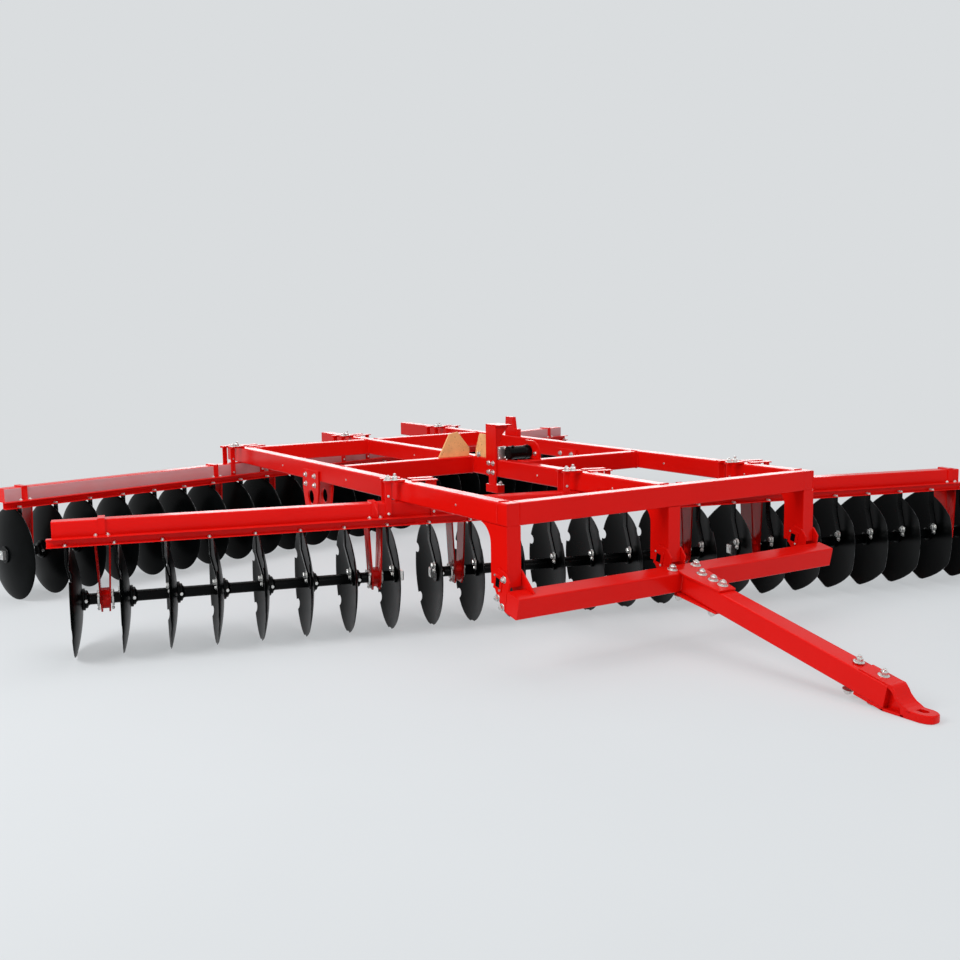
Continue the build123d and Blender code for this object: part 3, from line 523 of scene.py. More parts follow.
def tube(bm, place, long, width, height):
    """A square tube along X from the place's origin, closed by plates welded a little inside its ends."""
    radius = size("tube_corner")
    # (along, how far in from the tube's outline): a cap plate, the tube's cut edge, and its length
    end = [(3, 9), (3, 5), (0, 4), (0, 1), (1, 0)]
    rings = []
    for along, inside in end + [(long - along, inside) for along, inside in end[::-1]]:
        outline = rounded_outline(width - 2 * inside, height - 2 * inside, max(radius - inside, 1))
        rings.append(ring_points(bm, place, [(along, y, z) for y, z in outline]))
    skin(bm, rings)


def prism(bm, place, outline, thick, edge=None):
    """A plate: an outline of (x, z) points made thick along Y, both ways from the place, with soft edges."""
    near, far = [ring_points(bm, place, [(x, side * thick / 2, z) for x, z in outline]) for side in SIDES]
    faces = [bm.faces.new(near), bm.faces.new(far[::-1])]
    for n in range(len(outline)):
        m = (n + 1) % len(outline)
        faces.append(bm.faces.new((near[n], far[n], far[m], near[m])))
    bmesh.ops.bevel(bm, geom=list({e for f in faces for e in f.edges}), offset=edge or size("plate_edge"),
                    segments=2, profile=0.5, affect="EDGES", clamp_overlap=True)


def slab(bm, place, corner, other, edge=None):
    """A block between two corners, with soft edges."""
    x0, y0, z0 = corner
    x1, y1, z1 = other
    outline = [(x0, z0), (x1, z0), (x1, z1), (x0, z1)]
    prism(bm, place @ Matrix.Translation((0, (y0 + y1) / 2, 0)), outline, abs(y1 - y0), edge)


def facing(axis, place=(0, 0, 0)):
    """A place whose X axis looks along the given direction."""
    turn = Vector(axis).normalized().to_track_quat("X", "Z").to_matrix().to_4x4()
    return Matrix.Translation(place) @ turn


def bolt(bm, place, across, stud=0, washer=True, sides=6, head=None):
    """A bolt head or a nut that stands up along the place's X axis, with a washer and maybe a stud's end."""
    head = head or 0.62 * across
    foot = 0.1 * across if washer else 0
    if washer:
        wide = 0.86 * across
        lathe(bm, place, [(-0.5, wide), (foot * 0.7, wide), (foot, 0.82 * across), (foot, 0.3 * across)], 20)
    corner = across / 2 / math.cos(math.pi / sides)
    top = foot + head
    # (along, share of its full width): the head narrows at its top
    shape = ((foot - 0.5, 1.0), (foot + 0.84 * head, 1.0), (top, 0.86))
    skin(bm, [ring_points(bm, place, circle(along, share * corner, sides)) for along, share in shape])
    if stud:
        thread = 0.28 * across
        lathe(bm, place, [(top - 1, thread), (top + stud - 2, thread), (top + stud, 0.22 * across)], 14)


def bolts(bm, place, axis, spots, across, **how):
    """Like bolts at some spots in a place's frame, which all stand up along one axis."""
    for spot in spots:
        bolt(bm, place @ facing(axis, spot), across, **how)


def weld_line(bm, start, end):
    """A weld bead along a line: a rippled ridge, round across."""
    start, end = Vector(start), Vector(end)
    along = end - start
    # ripples of a hand weld are about 3 mm apart; drawn at 8 mm so that they show
    steps = 2 * max(2, round(along.length / 8))
    # the seed comes from the bead's place, so that no two look alike
    chance = random.Random(round(start.length * 7 + end.length))
    rings = []
    for n in range(steps + 1):
        swell = size("weld") * (1.0 if n % 2 else 0.84) * chance.uniform(0.94, 1.06)
        if n in (0, steps):
            swell *= 0.5
        at = Matrix.Translation(start + along * n / steps) @ facing(along)
        rings.append(ring_points(bm, at, circle(0, swell, 6)))
    skin(bm, rings)


def cad_skin(node, bevel=None, steps=2):
    """A copy of a CAD node's outer skin in millimetres, with its sharp edges rounded."""
    bevel = bevel or size("plate_edge")
    bm = bmesh.new()
    bm.from_mesh(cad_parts[node].data)
    bm.transform(Matrix.Scale(1 / MM, 4))
    bmesh.ops.remove_doubles(bm, verts=bm.verts, dist=0.01)
    # a hollow tube's inner skin isn't seen; its faces look into the hollow, so its volume is below nothing
    left = set(bm.faces)
    while left:
        shell, edge = set(), [next(iter(left))]
        while edge:
            face = edge.pop()
            if face in shell:
                continue
            shell.add(face)
            edge.extend(f for e in face.edges for f in e.link_faces if f not in shell)
        left -= shell
        if sum(face.normal.dot(face.calc_center_median()) * face.calc_area() for face in shell) < 0:
            bmesh.ops.delete(bm, geom=list(shell), context="FACES")
    bmesh.ops.dissolve_limit(bm, angle_limit=math.radians(1), verts=bm.verts, edges=bm.edges)
    # edges with less of a turn than 30 degrees are the facets of a curve
    edges = [e for e in bm.edges if len(e.link_faces) == 2
             and e.calc_face_angle() > math.radians(30) and e.calc_length() > 2.5 * bevel]
    bmesh.ops.bevel(bm, geom=edges, offset=bevel, segments=steps, profile=0.5, affect="EDGES",
                    clamp_overlap=True)
    return bm


class HarrowOperator:
    """What all the operators share."""
    bl_options = {"REGISTER", "UNDO"}

    def execute(self, context):
        self.make()
        return {"FINISHED"}


# Pieces


class OBJECT_OT_harrow_frame(HarrowOperator, bpy.types.Operator):
    """The frame's rails and cross beams as rolled tubes with round corners"""
    bl_idname = "harrow.frame"
    bl_label = "Frame tubes"

    def make(self):
        for node in ("right_rail", "centre_rail", "left_rail", "front_beam", "mid_beam_right", "mid_beam_left",
                     "rear_beam_right", "rear_beam_left"):
            low, high = corners(node)
            extent, middle = high - low, (low + high) / 2
            bm = bmesh.new()
            if extent.x > extent.y:
                start = Matrix.Translation((low.x, middle.y, middle.z))
                tube(bm, start, extent.x, extent.y, extent.z)
            else:
                start = Matrix.Translation((middle.x, low.y, middle.z))
                tube(bm, start @ QUARTER, extent.y, extent.x, extent.z)
            piece(f"{node}_tube", bm, "paint", "frame", node)


class OBJECT_OT_harrow_plates(HarrowOperator, bpy.types.Operator):
    """Posts, brackets, ears and lugs with softened edges, and the bare gussets"""
    bl_idname = "harrow.plates"
    bl_label = "Posts and brackets"

    def make(self):
        for node, edge in (("post_right", HEAVY_EDGE), ("post_centre", HEAVY_EDGE), ("post_left", HEAVY_EDGE),
                           ("rocker_brackets", CUT_EDGE), ("cylinder_anchor", CUT_EDGE),
                           ("rear_lug", HEAVY_EDGE)):
            piece(f"{node}_painted", cad_skin(node, edge), "paint", "frame", node)
        bm = bmesh.new()
        for side in SIDES:
            at = ZERO @ Matrix.Translation((-RAIL_WIDTH, EARS_Y + side * EARS_APART, FRAME_BOTTOM))
            prism(bm, at, [(0, 20), (0, 118), (-22, 121), (-104, 92), (-98, 62)], EAR, CUT_EDGE)
        piece("corner_bracket_painted", bm, "paint", "frame", "corner_bracket")
        piece("corner_gussets_plate", cad_skin("corner_gussets", THIN_EDGE), "plate", "frame", "corner_gussets")


class OBJECT_OT_harrow_hitch(HarrowOperator, bpy.types.Operator):
    """The hitch: cross tube, drawbar, root plates and cheeks"""
    bl_idname = "harrow.hitch"
    bl_label = "Hitch"

    def make(self):
        middle = HITCH_RISE - HITCH_TUBE / 2
        half = RAIL_Y + RAIL_WIDTH / 2 + HITCH_OVERHANG
        bm = bmesh.new()
        turned = Matrix.Translation((HITCH_AHEAD + HITCH_TUBE / 2, -half, middle)) @ QUARTER
        tube(bm, HITCH @ turned, 2 * half, HITCH_TUBE, HITCH_TUBE)
        piece("hitch_beam_tube", bm, "paint", "hitch", "hitch_beam")
        bm = bmesh.new()
        tube(bm, HITCH @ Matrix.Translation((DRAWBAR_ROOT, 0, middle)), DRAWBAR_LENGTH, HITCH_TUBE, HITCH_TUBE)
        piece("drawbar_tube", bm, "paint", "hitch", "drawbar")
        piece("root_plates_painted", cad_skin("root_plates", CUT_EDGE, 3), "paint", "hitch", "root_plates")
        bm = bmesh.new()
        foot = [(HITCH_AHEAD, HITCH_RISE), (HITCH_AHEAD, HITCH_LOW), (55, HITCH_LOW + 12), (-20, -48),
                (-40, -20), (-40, 40), (-10, 74)]
        plain, finned = [(62, 74), (HITCH_AHEAD, 34)], [(55, 74), (200, HITCH_RISE)]
        for rail in RAILS:
            for side in SIDES:
                # only the right post's inner cheek has a long fin down to the cross tube
                nose = finned if (rail, side) == (-RAIL_Y, 1) else plain
                at = HITCH @ Matrix.Translation((0, rail + side * (CHEEK_FACE - CHEEK / 2), 0))
                prism(bm, at, foot + nose, CHEEK, CUT_EDGE)
        piece("hitch_cheeks_painted", bm, "paint", "hitch", "hitch_cheeks")


def nose_ring(bm, level):
    """The nose's flat end, with the slot for the tractor's pin through it."""
    front, back, half, top = TONGUE_NOSE, TONGUE_NOSE - 160, TONGUE_WIDTH / 2, TONGUE_NOSE_HEIGHT
    # one half of the outline and of the slot, from the back to the front
    outer = [(back, 0), (back, half), (front - 84, half), (front - 50, half), (front - 22, half - 10),
             (front - 6, half - 24), (front, 16), (front, 0)]
    middle, reach, radius = TONGUE_NOSE - 90, 25, 20
    slot = [(middle - reach - radius, 0), (middle - reach - 14, 14), (middle - reach, radius), (middle, radius),
            (middle + reach, radius), (middle + reach + 10, 17), (middle + reach + 18, 9),
            (middle + reach + radius, 0)]
    flared = [(x + (2 if x > middle else -2), y) for x, y in slot]
    upper = [(x - 4 if x > middle else x, y * 0.93) for x, y in outer]
    lower = [(x - 3 if x > middle else x, y * 0.95) for x, y in outer]
    rings = []
    for points, z in ((slot, 3), (slot, top - 3), (flared, top), (upper, top), (outer, top - 5), (outer, 4),
                      (lower, 0), (flared, 0)):
        other_half = [(x, -y) for x, y in points[-2:0:-1]]
        rings.append(ring_points(bm, level, [(x, y, z) for x, y in points + other_half]))
    skin(bm, rings, True)


class OBJECT_OT_harrow_tongue(HarrowOperator, bpy.types.Operator):
    """The tongue: a strap that sweeps from the drawbar's top to the nose, a web, and the nose with its slot"""
    bl_idname = "harrow.tongue"
    bl_label = "Tongue"

    def make(self):
        half = TONGUE_WIDTH / 2
        bm = bmesh.new()
        for low, high in ((HITCH_RISE, HITCH_RISE + TONGUE_STRAP), (HITCH_LOW - TONGUE_PLATE, HITCH_LOW)):
            slab(bm, HITCH, (DRAWBAR_END - TONGUE_GRIP, -half, low), (DRAWBAR_END + 2, half, high), CUT_EDGE)
        # the nose lies level when the tongue rests on the ground, from the lower grip's front corner
        level = (HITCH @ Matrix.Translation((DRAWBAR_END, 0, HITCH_LOW - TONGUE_PLATE))
                 @ Matrix.Rotation(math.radians(-HITCH_DIP), 4, "Y"))
        crest = [(16, 138), (32, 141), (46, 138), (57, 127), (67, 110), (78, 90), (91, 72), (108, 58),
                 (130, 48), (158, 42)]
        under = [(158, 30), (124, 33), (98, 44), (79, 60), (65, 80), (54, 102), (45, 117), (34, 124), (16, 122)]
        web = [(4, 4), (4, 124), (36, 126), (60, 96), (82, 60), (120, 36), (140, 6)]
        sole = [(-30, 6), (-2, 0), (120, 0), (120, 14), (4, 16)]
        prism(bm, level, crest + under, TONGUE_WIDTH, HEAVY_EDGE)
        prism(bm, level, web, TONGUE_WEB, FORGED_EDGE)
        prism(bm, level, sole, TONGUE_WIDTH, FORGED_EDGE)
        nose_ring(bm, level)
        piece("tongue_painted", bm, "paint", "hitch", "tongue")


class OBJECT_OT_harrow_pins(HarrowOperator, bpy.types.Operator):
    """The three pivot pins, with their keeper plates, black slabs of painted shade for the pins' sockets, and
    the keepers' bolts
    """
    bl_idname = "harrow.pins"
    bl_label = "Pivot pins"

    def make(self):
        pins, painted_socket_shade, heads = bmesh.new(), bmesh.new(), bmesh.new()
        reach = CHEEK_FACE + PIN_PROUD
        (x, z), (shade_x, shade_z) = KEEPER, PAINTED_SOCKET_SHADE
        at = HITCH @ Matrix.Translation((KEEPER_AHEAD, 0, 0))
        for rail in RAILS:
            lathe(pins, HITCH @ facing((0, 1, 0), (0, rail - reach, 0)),
                  [(0, PIN_RADIUS), (2 * reach, PIN_RADIUS)], 24)
            for side in SIDES:
                face = rail + side * reach
                out = face + side * KEEPER_THICK
                slab(pins, at, (-x, face, -z), (x, out, z))
                # a thin black slab just proud of each keeper: painted shade where the pin's socket would be
                # dark
                slab(painted_socket_shade, at, (-shade_x, out - side, -shade_z), (shade_x, out + side, shade_z),
                     PAINTED_SOCKET_SHADE_EDGE)
                bolts(heads, at, (0, side, 0), [(9 - x, out, z - 10), (x - 9, out, 10 - z)],
                      0.6 * size("small_bolt"), washer=False)
        piece("pivot_pins_and_keepers", pins, "paint", "hitch", "pivot_pins")
        # the black slabs are painted shade for the sockets, not parts of their own
        piece("pivot_pin_painted_shade", painted_socket_shade, "black", "hitch")
        piece("keeper_bolts", heads, "zinc", "hitch")


class OBJECT_OT_harrow_hitch_bolts(HarrowOperator, bpy.types.Operator):
    """Bolts of the root plates, the tongue and the cheeks"""
    bl_idname = "harrow.hitch_bolts"
    bl_label = "Hitch bolts"

    def make(self):
        bm = bmesh.new()
        top, low = HITCH_RISE + ROOT_PLATE, HITCH_LOW - ROOT_PLATE
        bolts(bm, HITCH, UP, [(165, -88, HITCH_RISE), (158, 100, HITCH_RISE), (300, 15, top), (393, 17, top),
                              (469, 19, top)], ROOT_BOLT, stud=7)
        bolts(bm, HITCH, DOWN, [(x, y, low) for x, y in ((240, 76), (240, -76), (480, 40), (480, -40))],
              ROOT_BOLT, stud=9)
        top, low = HITCH_RISE + TONGUE_STRAP, HITCH_LOW - TONGUE_PLATE
        # the lower heads are flatter towards the tongue, which rests on the ground
        for x, head, stud in ((1452, 18, 6), (1604, 7, 0)):
            bolts(bm, HITCH, UP, [(x, 5, top)], TONGUE_BOLT, stud=12)
            bolts(bm, HITCH, DOWN, [(x, -32, low)], TONGUE_BOLT, head=head, stud=stud)
        # on the outer side of the right post's cheek, and of its twin on the left
        for x, z in ((20, -88), (72, -120), (60, 35)):
            for side in SIDES:
                bolts(bm, HITCH, (0, side, 0), [(x, side * (RAIL_Y + CHEEK_FACE), z)], CHEEK_BOLT, stud=5)
        piece("hitch_bolts", bm, "zinc", "hitch")


class OBJECT_OT_harrow_gang_beams(HarrowOperator, bpy.types.Operator):
    """The two slanted beams over the gangs"""
    bl_idname = "harrow.gang_beams"
    bl_label = "Gang beams"

    def make(self):
        for row in ROWS:
            start = Matrix.Translation((-GANG_TUBE / 2, ROWS[row].beam_start, GANG_BOTTOM + GANG_TUBE / 2))
            bm = bmesh.new()
            tube(bm, row_place(row) @ start @ QUARTER, GANG_LENGTH, GANG_TUBE, GANG_TUBE)
            finish = "dusty" if row == "rear" else "paint"
            piece(f"{row}_gang_beam_tube", bm, finish, "frame", f"{row}_gang_beam")


def disc_places(row):
    """Where a row's discs are along it."""
    return [ROWS[row].first_disc + n * DISC_SPACING for n in range(DISCS_PER_GANG * len(GANG_TURNS))]


def gangs(row):
    """(gang, where its discs are) for each of a row's gangs, from the right."""
    places = disc_places(row)
    return [(gang, places[n * DISCS_PER_GANG:(n + 1) * DISCS_PER_GANG])
            for n, gang in enumerate(GANG_TURNS)]


def hanger_places(row):
    """Between the first two and the last two discs of each gang."""
    return [(discs[n] + discs[n + 1]) / 2 for gang, discs in gangs(row) for n in (0, DISCS_PER_GANG - 2)]


def rim_samples(row, gang):
    """(angle, how far the rim is cut in) round a disc; the samples lie close where a notch is.

    A notch that meets the ground first is rubbed shallow. The left gang's are worn to long flats.
    """
    if row == "rear":
        return [(2 * math.pi * n / RIM_STEPS, 0) for n in range(RIM_STEPS)]
    worn_flat, radius = gang == "left", size("disc_radius")
    half = math.radians(FLAT_HALF) if worn_flat else math.asin(size("notch_width") / 2 / radius)
    notches = bpy.context.scene.harrow_sizes.notches
    sector = 2 * math.pi / notches
    gap = sector - 2 * half
    samples = []
    for notch in range(notches):
        middle = math.radians(GANG_TURNS[gang]) + notch * sector
        rubbed = RUBBED_FROM < math.degrees((middle + math.pi) % (2 * math.pi) - math.pi) < RUBBED_TO
        depth = size("notch_depth") * (RUBBED_SHARE if rubbed else 1)
        for n in range(NOTCH_STEPS + 1):
            a = math.pi * n / NOTCH_STEPS
            off = half * math.cos(a)
            if worn_flat:
                cut = FLAT_SHARE * radius * (1 - math.cos(half) / math.cos(off))
            else:
                cut = depth * math.sin(a) ** 0.7
            samples.append((middle - off, cut))
        samples += [(middle + half + gap * n / TOOTH_STEPS, 0) for n in range(1, TOOTH_STEPS)]
    return samples


def disc(bm, place, samples, side):
    """One dished disc round the place's Y axis, its hollow to that side, with its rim ground to an edge."""
    rim, dish, flat = size("disc_radius"), size("disc_dish"), size("hub_radius")

    def depth(radius):
        """Height of the hollow's face above the hub at that radius; the dish is part of a ball."""
        return dish * (max(radius, flat) ** 2 - flat ** 2) / (rim ** 2 - flat ** 2)

    # rings of (radius, height), one for each sample
    hollow, back = [[[(share * rim, depth(share * rim) - thick)] * len(samples) for share in DISC_RINGS]
                    for thick in (0, DISC_THICKNESS)]
    reach = [rim - cut for angle, cut in samples]
    # a worn bright line in the hollow, and the ground edge on the back
    hollow.append([(r - RIM_WEAR, depth(r - RIM_WEAR)) for r in reach])
    hollow.append([(r, depth(r)) for r in reach])
    back.append([(r - RIM_GROUND, depth(r - RIM_GROUND) - DISC_THICKNESS) for r in reach])
    back.append([(r - 0.5, depth(r) - 1.5) for r in reach])
    rings = [ring_points(bm, place, [(r * math.sin(a), side * up, -r * math.cos(a))
                                     for (r, up), (a, cut) in zip(points, samples)])
             for points in hollow + back[::-1]]
    skin(bm, rings, True)
    bm.faces.ensure_lookup_table()
    # the strip of worn faces, counted from the disc's first face
    first = len(bm.faces) - len(rings) * len(samples)
    worn = first + (len(hollow) - 2) * len(samples)
    for face in bm.faces[worn:worn + 2 * len(samples)]:
        face.material_index = 1


class OBJECT_OT_harrow_discs(HarrowOperator, bpy.types.Operator):
    """The dished discs, notched in front and plain behind"""
    bl_idname = "harrow.discs"
    bl_label = "Discs"

    def make(self):
        for row in ROWS:
            for gang, places in gangs(row):
                samples = rim_samples(row, gang)
                bm = bmesh.new()
                for y in places:
                    disc(bm, arbor_place(row, y), samples, ROWS[row].hollow)
                piece(f"{row}_{gang}_disc_set", bm, "disc", f"{row}_{gang}_gang", f"{row}_{gang}_discs",
                      sharp=50, second="edge")


class OBJECT_OT_harrow_axles(HarrowOperator, bpy.types.Operator):
    """The spools, their wide hubs and the axle's ends"""
    bl_idname = "harrow.axles"
    bl_label = "Spools and axles"

    def make(self):
        spool, hub, long = size("spool_radius"), size("hub_radius"), DISC_SPACING - DISC_THICKNESS
        # from the hub on one disc's back to the small flange in the next one's hollow
        profile = [(0, hub - 3), (2, hub), (12, hub), (15, hub - 3), (16, hub - 11), (26, hub - 12),
                   (29, hub - 16), (32, spool + 6), (38, spool + 1), (46, spool), (long - 26, spool),
                   (long - 16, spool + 4), (long - 12, spool + 12), (long - 1, spool + 13), (long, spool + 11)]
        for row in ROWS:
            way = -ROWS[row].hollow
            # a disc's right and left face at its hub, from its place
            right_face, left_face = sorted((way * DISC_THICKNESS, 0))
            axis = arbor_place(row, 0)
            for gang, places in gangs(row):
                bm, bright = bmesh.new(), bmesh.new()
                for right, left in zip(places, places[1:]):
                    back = right + left_face if way > 0 else left + right_face
                    lathe(bm, axis @ facing((0, way, 0), (0, back, 0)), profile, 40)
                    # a clamping bolt in each wide flange
                    bolts(bright, axis, (1, 0, 0), [(hub - 13, back + way * 21, 0)], size("small_bolt"),
                          washer=False)
                for y, side in ((places[0] + right_face, -1), (places[-1] + left_face, 1)):
                    at = axis @ facing((0, side, 0), (0, y, 0))
                    lathe(bm, at, [(0, END_WASHER), (9, END_WASHER), (12, END_WASHER - 3), (12, 20)], 40)
                    turned = at @ Matrix.Translation((12, 0, 0)) @ Matrix.Rotation(math.pi / 4, 4, "X")
                    bolt(bright, turned, AXLE_NUT, washer=False, sides=4, head=30)
                    lathe(bright, at @ Matrix.Translation((38, 0, 0)), [(0, 18), (6, 18), (7.5, 16)], 20)
                body = f"{row}_{gang}_gang"
                piece(f"{row}_{gang}_spools", bm, "black", body, f"{row}_{gang}_axle")
                piece(f"{row}_{gang}_end_nuts", bright, "zinc", body)


class OBJECT_OT_harrow_hangers(HarrowOperator, bpy.types.Operator):
    """The V hangers, with bright rings round their bearings, and their bolts"""
    bl_idname = "harrow.hangers"
    bl_label = "Hangers and bearings"

    def make(self):
        small = size("small_bolt")
        for row in ROWS:
            piece(f"{row}_hangers_painted", cad_skin(f"{row}_hangers"), "paint", "frame", f"{row}_hangers")
            rings, heads = bmesh.new(), bmesh.new()
            for y in hanger_places(row):
                for side in SIDES:
                    at = arbor_place(row, y + side * HANGER_FOOT_FACE) @ facing((0, side, 0))
                    ring(rings, at, BEARING_BORE, BEARING_RING, BEARING_THICK)
                    # bolts round the bearing, and the pairs that close the strap under the beam
                    for turn in (30, 150, 270):
                        a = math.radians(turn)
                        spot = (-2, 60 * math.cos(a), 60 * math.sin(a))
                        bolt(heads, at @ Matrix.Translation(spot), small, washer=False, stud=3)
                    for x in HANGER_SEAT:
                        for axis, z, stud in ((UP, GANG_BOTTOM, 6), (DOWN, GANG_BOTTOM - HANGER_PLATE, 9)):
                            bolts(heads, row_place(row), axis, [(x, y + side * HANGER_BOLT_Y, z)],
                                  1.15 * small, stud=stud)
            piece(f"{row}_bearing_rings", rings, "zinc", "frame")
            piece(f"{row}_hanger_bolts", heads, "zinc", "frame")


class OBJECT_OT_harrow_scrapers(HarrowOperator, bpy.types.Operator):
    """The scraper bars, arms and blades"""
    bl_idname = "harrow.scrapers"
    bl_label = "Scrapers"

    def make(self):
        for row in ROWS:
            bar = f"{row}_scraper_bar"
            piece(f"{bar}_painted", cad_skin(bar, THIN_EDGE), "paint", "frame", bar)
            piece(f"{row}_scrapers_black", cad_skin(f"{row}_scrapers"), "black", "frame", f"{row}_scrapers")
            # each blade's large bolt and its small one, and the two that hold the arm under the bar
            side, at = ROWS[row].hollow, row_place(row)
            bm = bmesh.new()
            for y in disc_places(row):
                face = y + side * (SCRAPER_HOLLOW_GAP + SCRAPER_ARM)
                bolts(bm, at, (0, side, 0), [(60, face, 398)], 1.05 * size("bolt"))
                bolts(bm, at, (0, side, 0), [(62, face, 364)], size("small_bolt"))
                bolts(bm, at, UP, [(x, y + side * 67, SCRAPER_BAR_FLOOR) for x in (41, 65)],
                      0.8 * size("small_bolt"))
            piece(f"{row}_scraper_bolts", bm, "zinc", "frame")


class OBJECT_OT_harrow_clamps(HarrowOperator, bpy.types.Operator):
    """The straps that hold the gang beams under the rails, with their bolted plates"""
    bl_idname = "harrow.clamps"
    bl_label = "Clamps"

    def make(self):
        for row in ROWS:
            plates, heads = bmesh.new(), bmesh.new()
            at = row_place(row)
            for rail in RAILS:
                crossing = rail / math.cos(math.radians(ROWS[row].slant))
                for side in SIDES:
                    y = crossing + side * CLAMP_REACH[side]
                    right, left = y - CLAMP_STRAP_HALF, y + CLAMP_STRAP_HALF
                    inner, outer = crossing + side * (RAIL_WIDTH / 2 - 20), y + side * CLAMP_PLATE_HALF
                    top = FRAME_TOP + CLAMP_PLATE[side]
                    # the strap goes down, under the beam and up again
                    for front in (CLAMP_STRAP, -GANG_TUBE):
                        slab(plates, at, (front - CLAMP_STRAP, right, GANG_BOTTOM - CLAMP_STRAP),
                             (front, left, FRAME_TOP), THIN_EDGE)
                        middle = front - CLAMP_STRAP / 2
                        slab(plates, at, (middle - CLAMP_PLATE_HALF, inner, FRAME_TOP),
                             (middle + CLAMP_PLATE_HALF, outer, top))
                        if side < 0 and front > 0:
                            for along, stud in ((y - 2, 8), (y + 42, 16)):
                                bolts(heads, at, UP, [(middle + 6, along, top - 0.5)], CLAMP_NUT, stud=stud,
                                      head=20)
                    slab(plates, at, (-GANG_TUBE - CLAMP_STRAP, right, GANG_BOTTOM - CLAMP_STRAP),
                         (CLAMP_STRAP, left, GANG_BOTTOM), THIN_EDGE)
                    for x in (CLAMP_STRAP + 1, -GANG_TUBE - CLAMP_STRAP - 1):
                        bolts(heads, at, (x, 0, 0), [(x, y, GANG_BOTTOM + 30), (x, y, FRAME_BOTTOM + 40)], PLUG,
                              washer=False, head=5)
            piece(f"{row}_clamps_painted", plates, "paint", "frame", f"{row}_clamps")
            piece(f"{row}_clamp_bolts", heads, "zinc", "frame")


class OBJECT_OT_harrow_mast(HarrowOperator, bpy.types.Operator):
    """The short mast: a side plate with a leg below the rail, a body that narrows downwards, a flat head"""
    bl_idname = "harrow.mast"
    bl_label = "Mast"

    def make(self):
        front, back, right = MAST_FRONT_X, MAST_FRONT_X - MAST_DEPTH, -RAIL_WIDTH / 2
        outside, neck = right - MAST_PLATE, MAST_HEIGHT - MAST_HEAD
        bm = bmesh.new()
        slab(bm, ZERO, (back, outside, FRAME_BOTTOM), (front, right, FRAME_TOP + neck))
        # the body, from its left side's curve: (distance from its right side, height above the rail)
        curve = [(14, 0), (15, 60), (20, 110), (31, 150), (50, 184), (76, 210), (94, 224), (94, neck)]
        outline = [(right + y, up) for y, up in [(0, 0), *curve, (0, neck)]]
        turned = Matrix.Translation((front - MAST_DEPTH / 2, 0, FRAME_TOP)) @ QUARTER
        prism(bm, ZERO @ turned, outline, MAST_DEPTH)
        slab(bm, ZERO, (back, outside, FRAME_TOP + neck),
             (front + MAST_HEAD_PROUD, right + 105, FRAME_TOP + MAST_HEIGHT))
        # the leg below the rail and its bolted foot
        slab(bm, ZERO, (front - 98, outside, MAST_LEG_FOOT), (front - 8, right, FRAME_BOTTOM + 2))
        slab(bm, ZERO, (front - 125, right - 20, MAST_LEG_FOOT - 6), (front + 30, right + 40, MAST_FOOT_TOP),
             FORGED_EDGE)
        piece("mast_painted", bm, "paint", "frame", "mast")
        heads = bmesh.new()
        bolts(heads, ZERO, UP, [(front + x, right + 18, MAST_FOOT_TOP) for x in (-105, 12)], MAST_FOOT_BOLT,
              stud=8)
        for z in (FRAME_BOTTOM + 30, FRAME_TOP - 30):
            bolts(heads, ZERO, (0, -1, 0), [(front - 40, outside, z), (front - 96, outside, z)], MAST_BOLT)
        piece("mast_bolts", heads, "zinc", "frame")


class OBJECT_OT_harrow_cylinder(HarrowOperator, bpy.types.Operator):
    """The short hydraulic cylinder on the frame, with its bright head plate"""
    bl_idname = "harrow.cylinder"
    bl_label = "Cylinder"

    def make(self):
        radius, z = CYLINDER_RADIUS, FRAME_TOP + CYLINDER_RADIUS
        long = CYLINDER_END_Y - CYLINDER_START_Y
        bm = bmesh.new()
        lathe(bm, ZERO @ facing((0, 1, 0), (CYLINDER_X, CYLINDER_START_Y, z)), [
            (0, radius - 6), (3, radius), (34, radius), (36, radius - 3), (long - 44, radius - 3),
            (long - 42, radius), (long - 4, radius), (long, radius - 4)], 48)
        # oil ports with their plugs
        for y in (CYLINDER_START_Y + 30, CYLINDER_END_Y - 30):
            spot = (CYLINDER_X + 0.44 * radius, y, z + 0.8 * radius)
            lathe(bm, ZERO @ facing((0.5, 0, 0.87), spot), [(0, 11), (12, 11), (14, 9)], 20)
        piece("lift_cylinder_barrel", bm, "black", "frame", "lift_cylinder")
        bm = bmesh.new()
        face = MAST_FRONT_X + CYLINDER_HEAD
        slab(bm, ZERO, (MAST_FRONT_X, -45, FRAME_TOP), (face, 25, FRAME_TOP + 93), CUT_EDGE)
        bolts(bm, ZERO, (1, 0, 0), [(face, y, FRAME_TOP + up) for y in (-34, 14) for up in (12, 80)], PLUG,
              washer=False)
        piece("lift_cylinder_head", bm, "zinc", "frame")


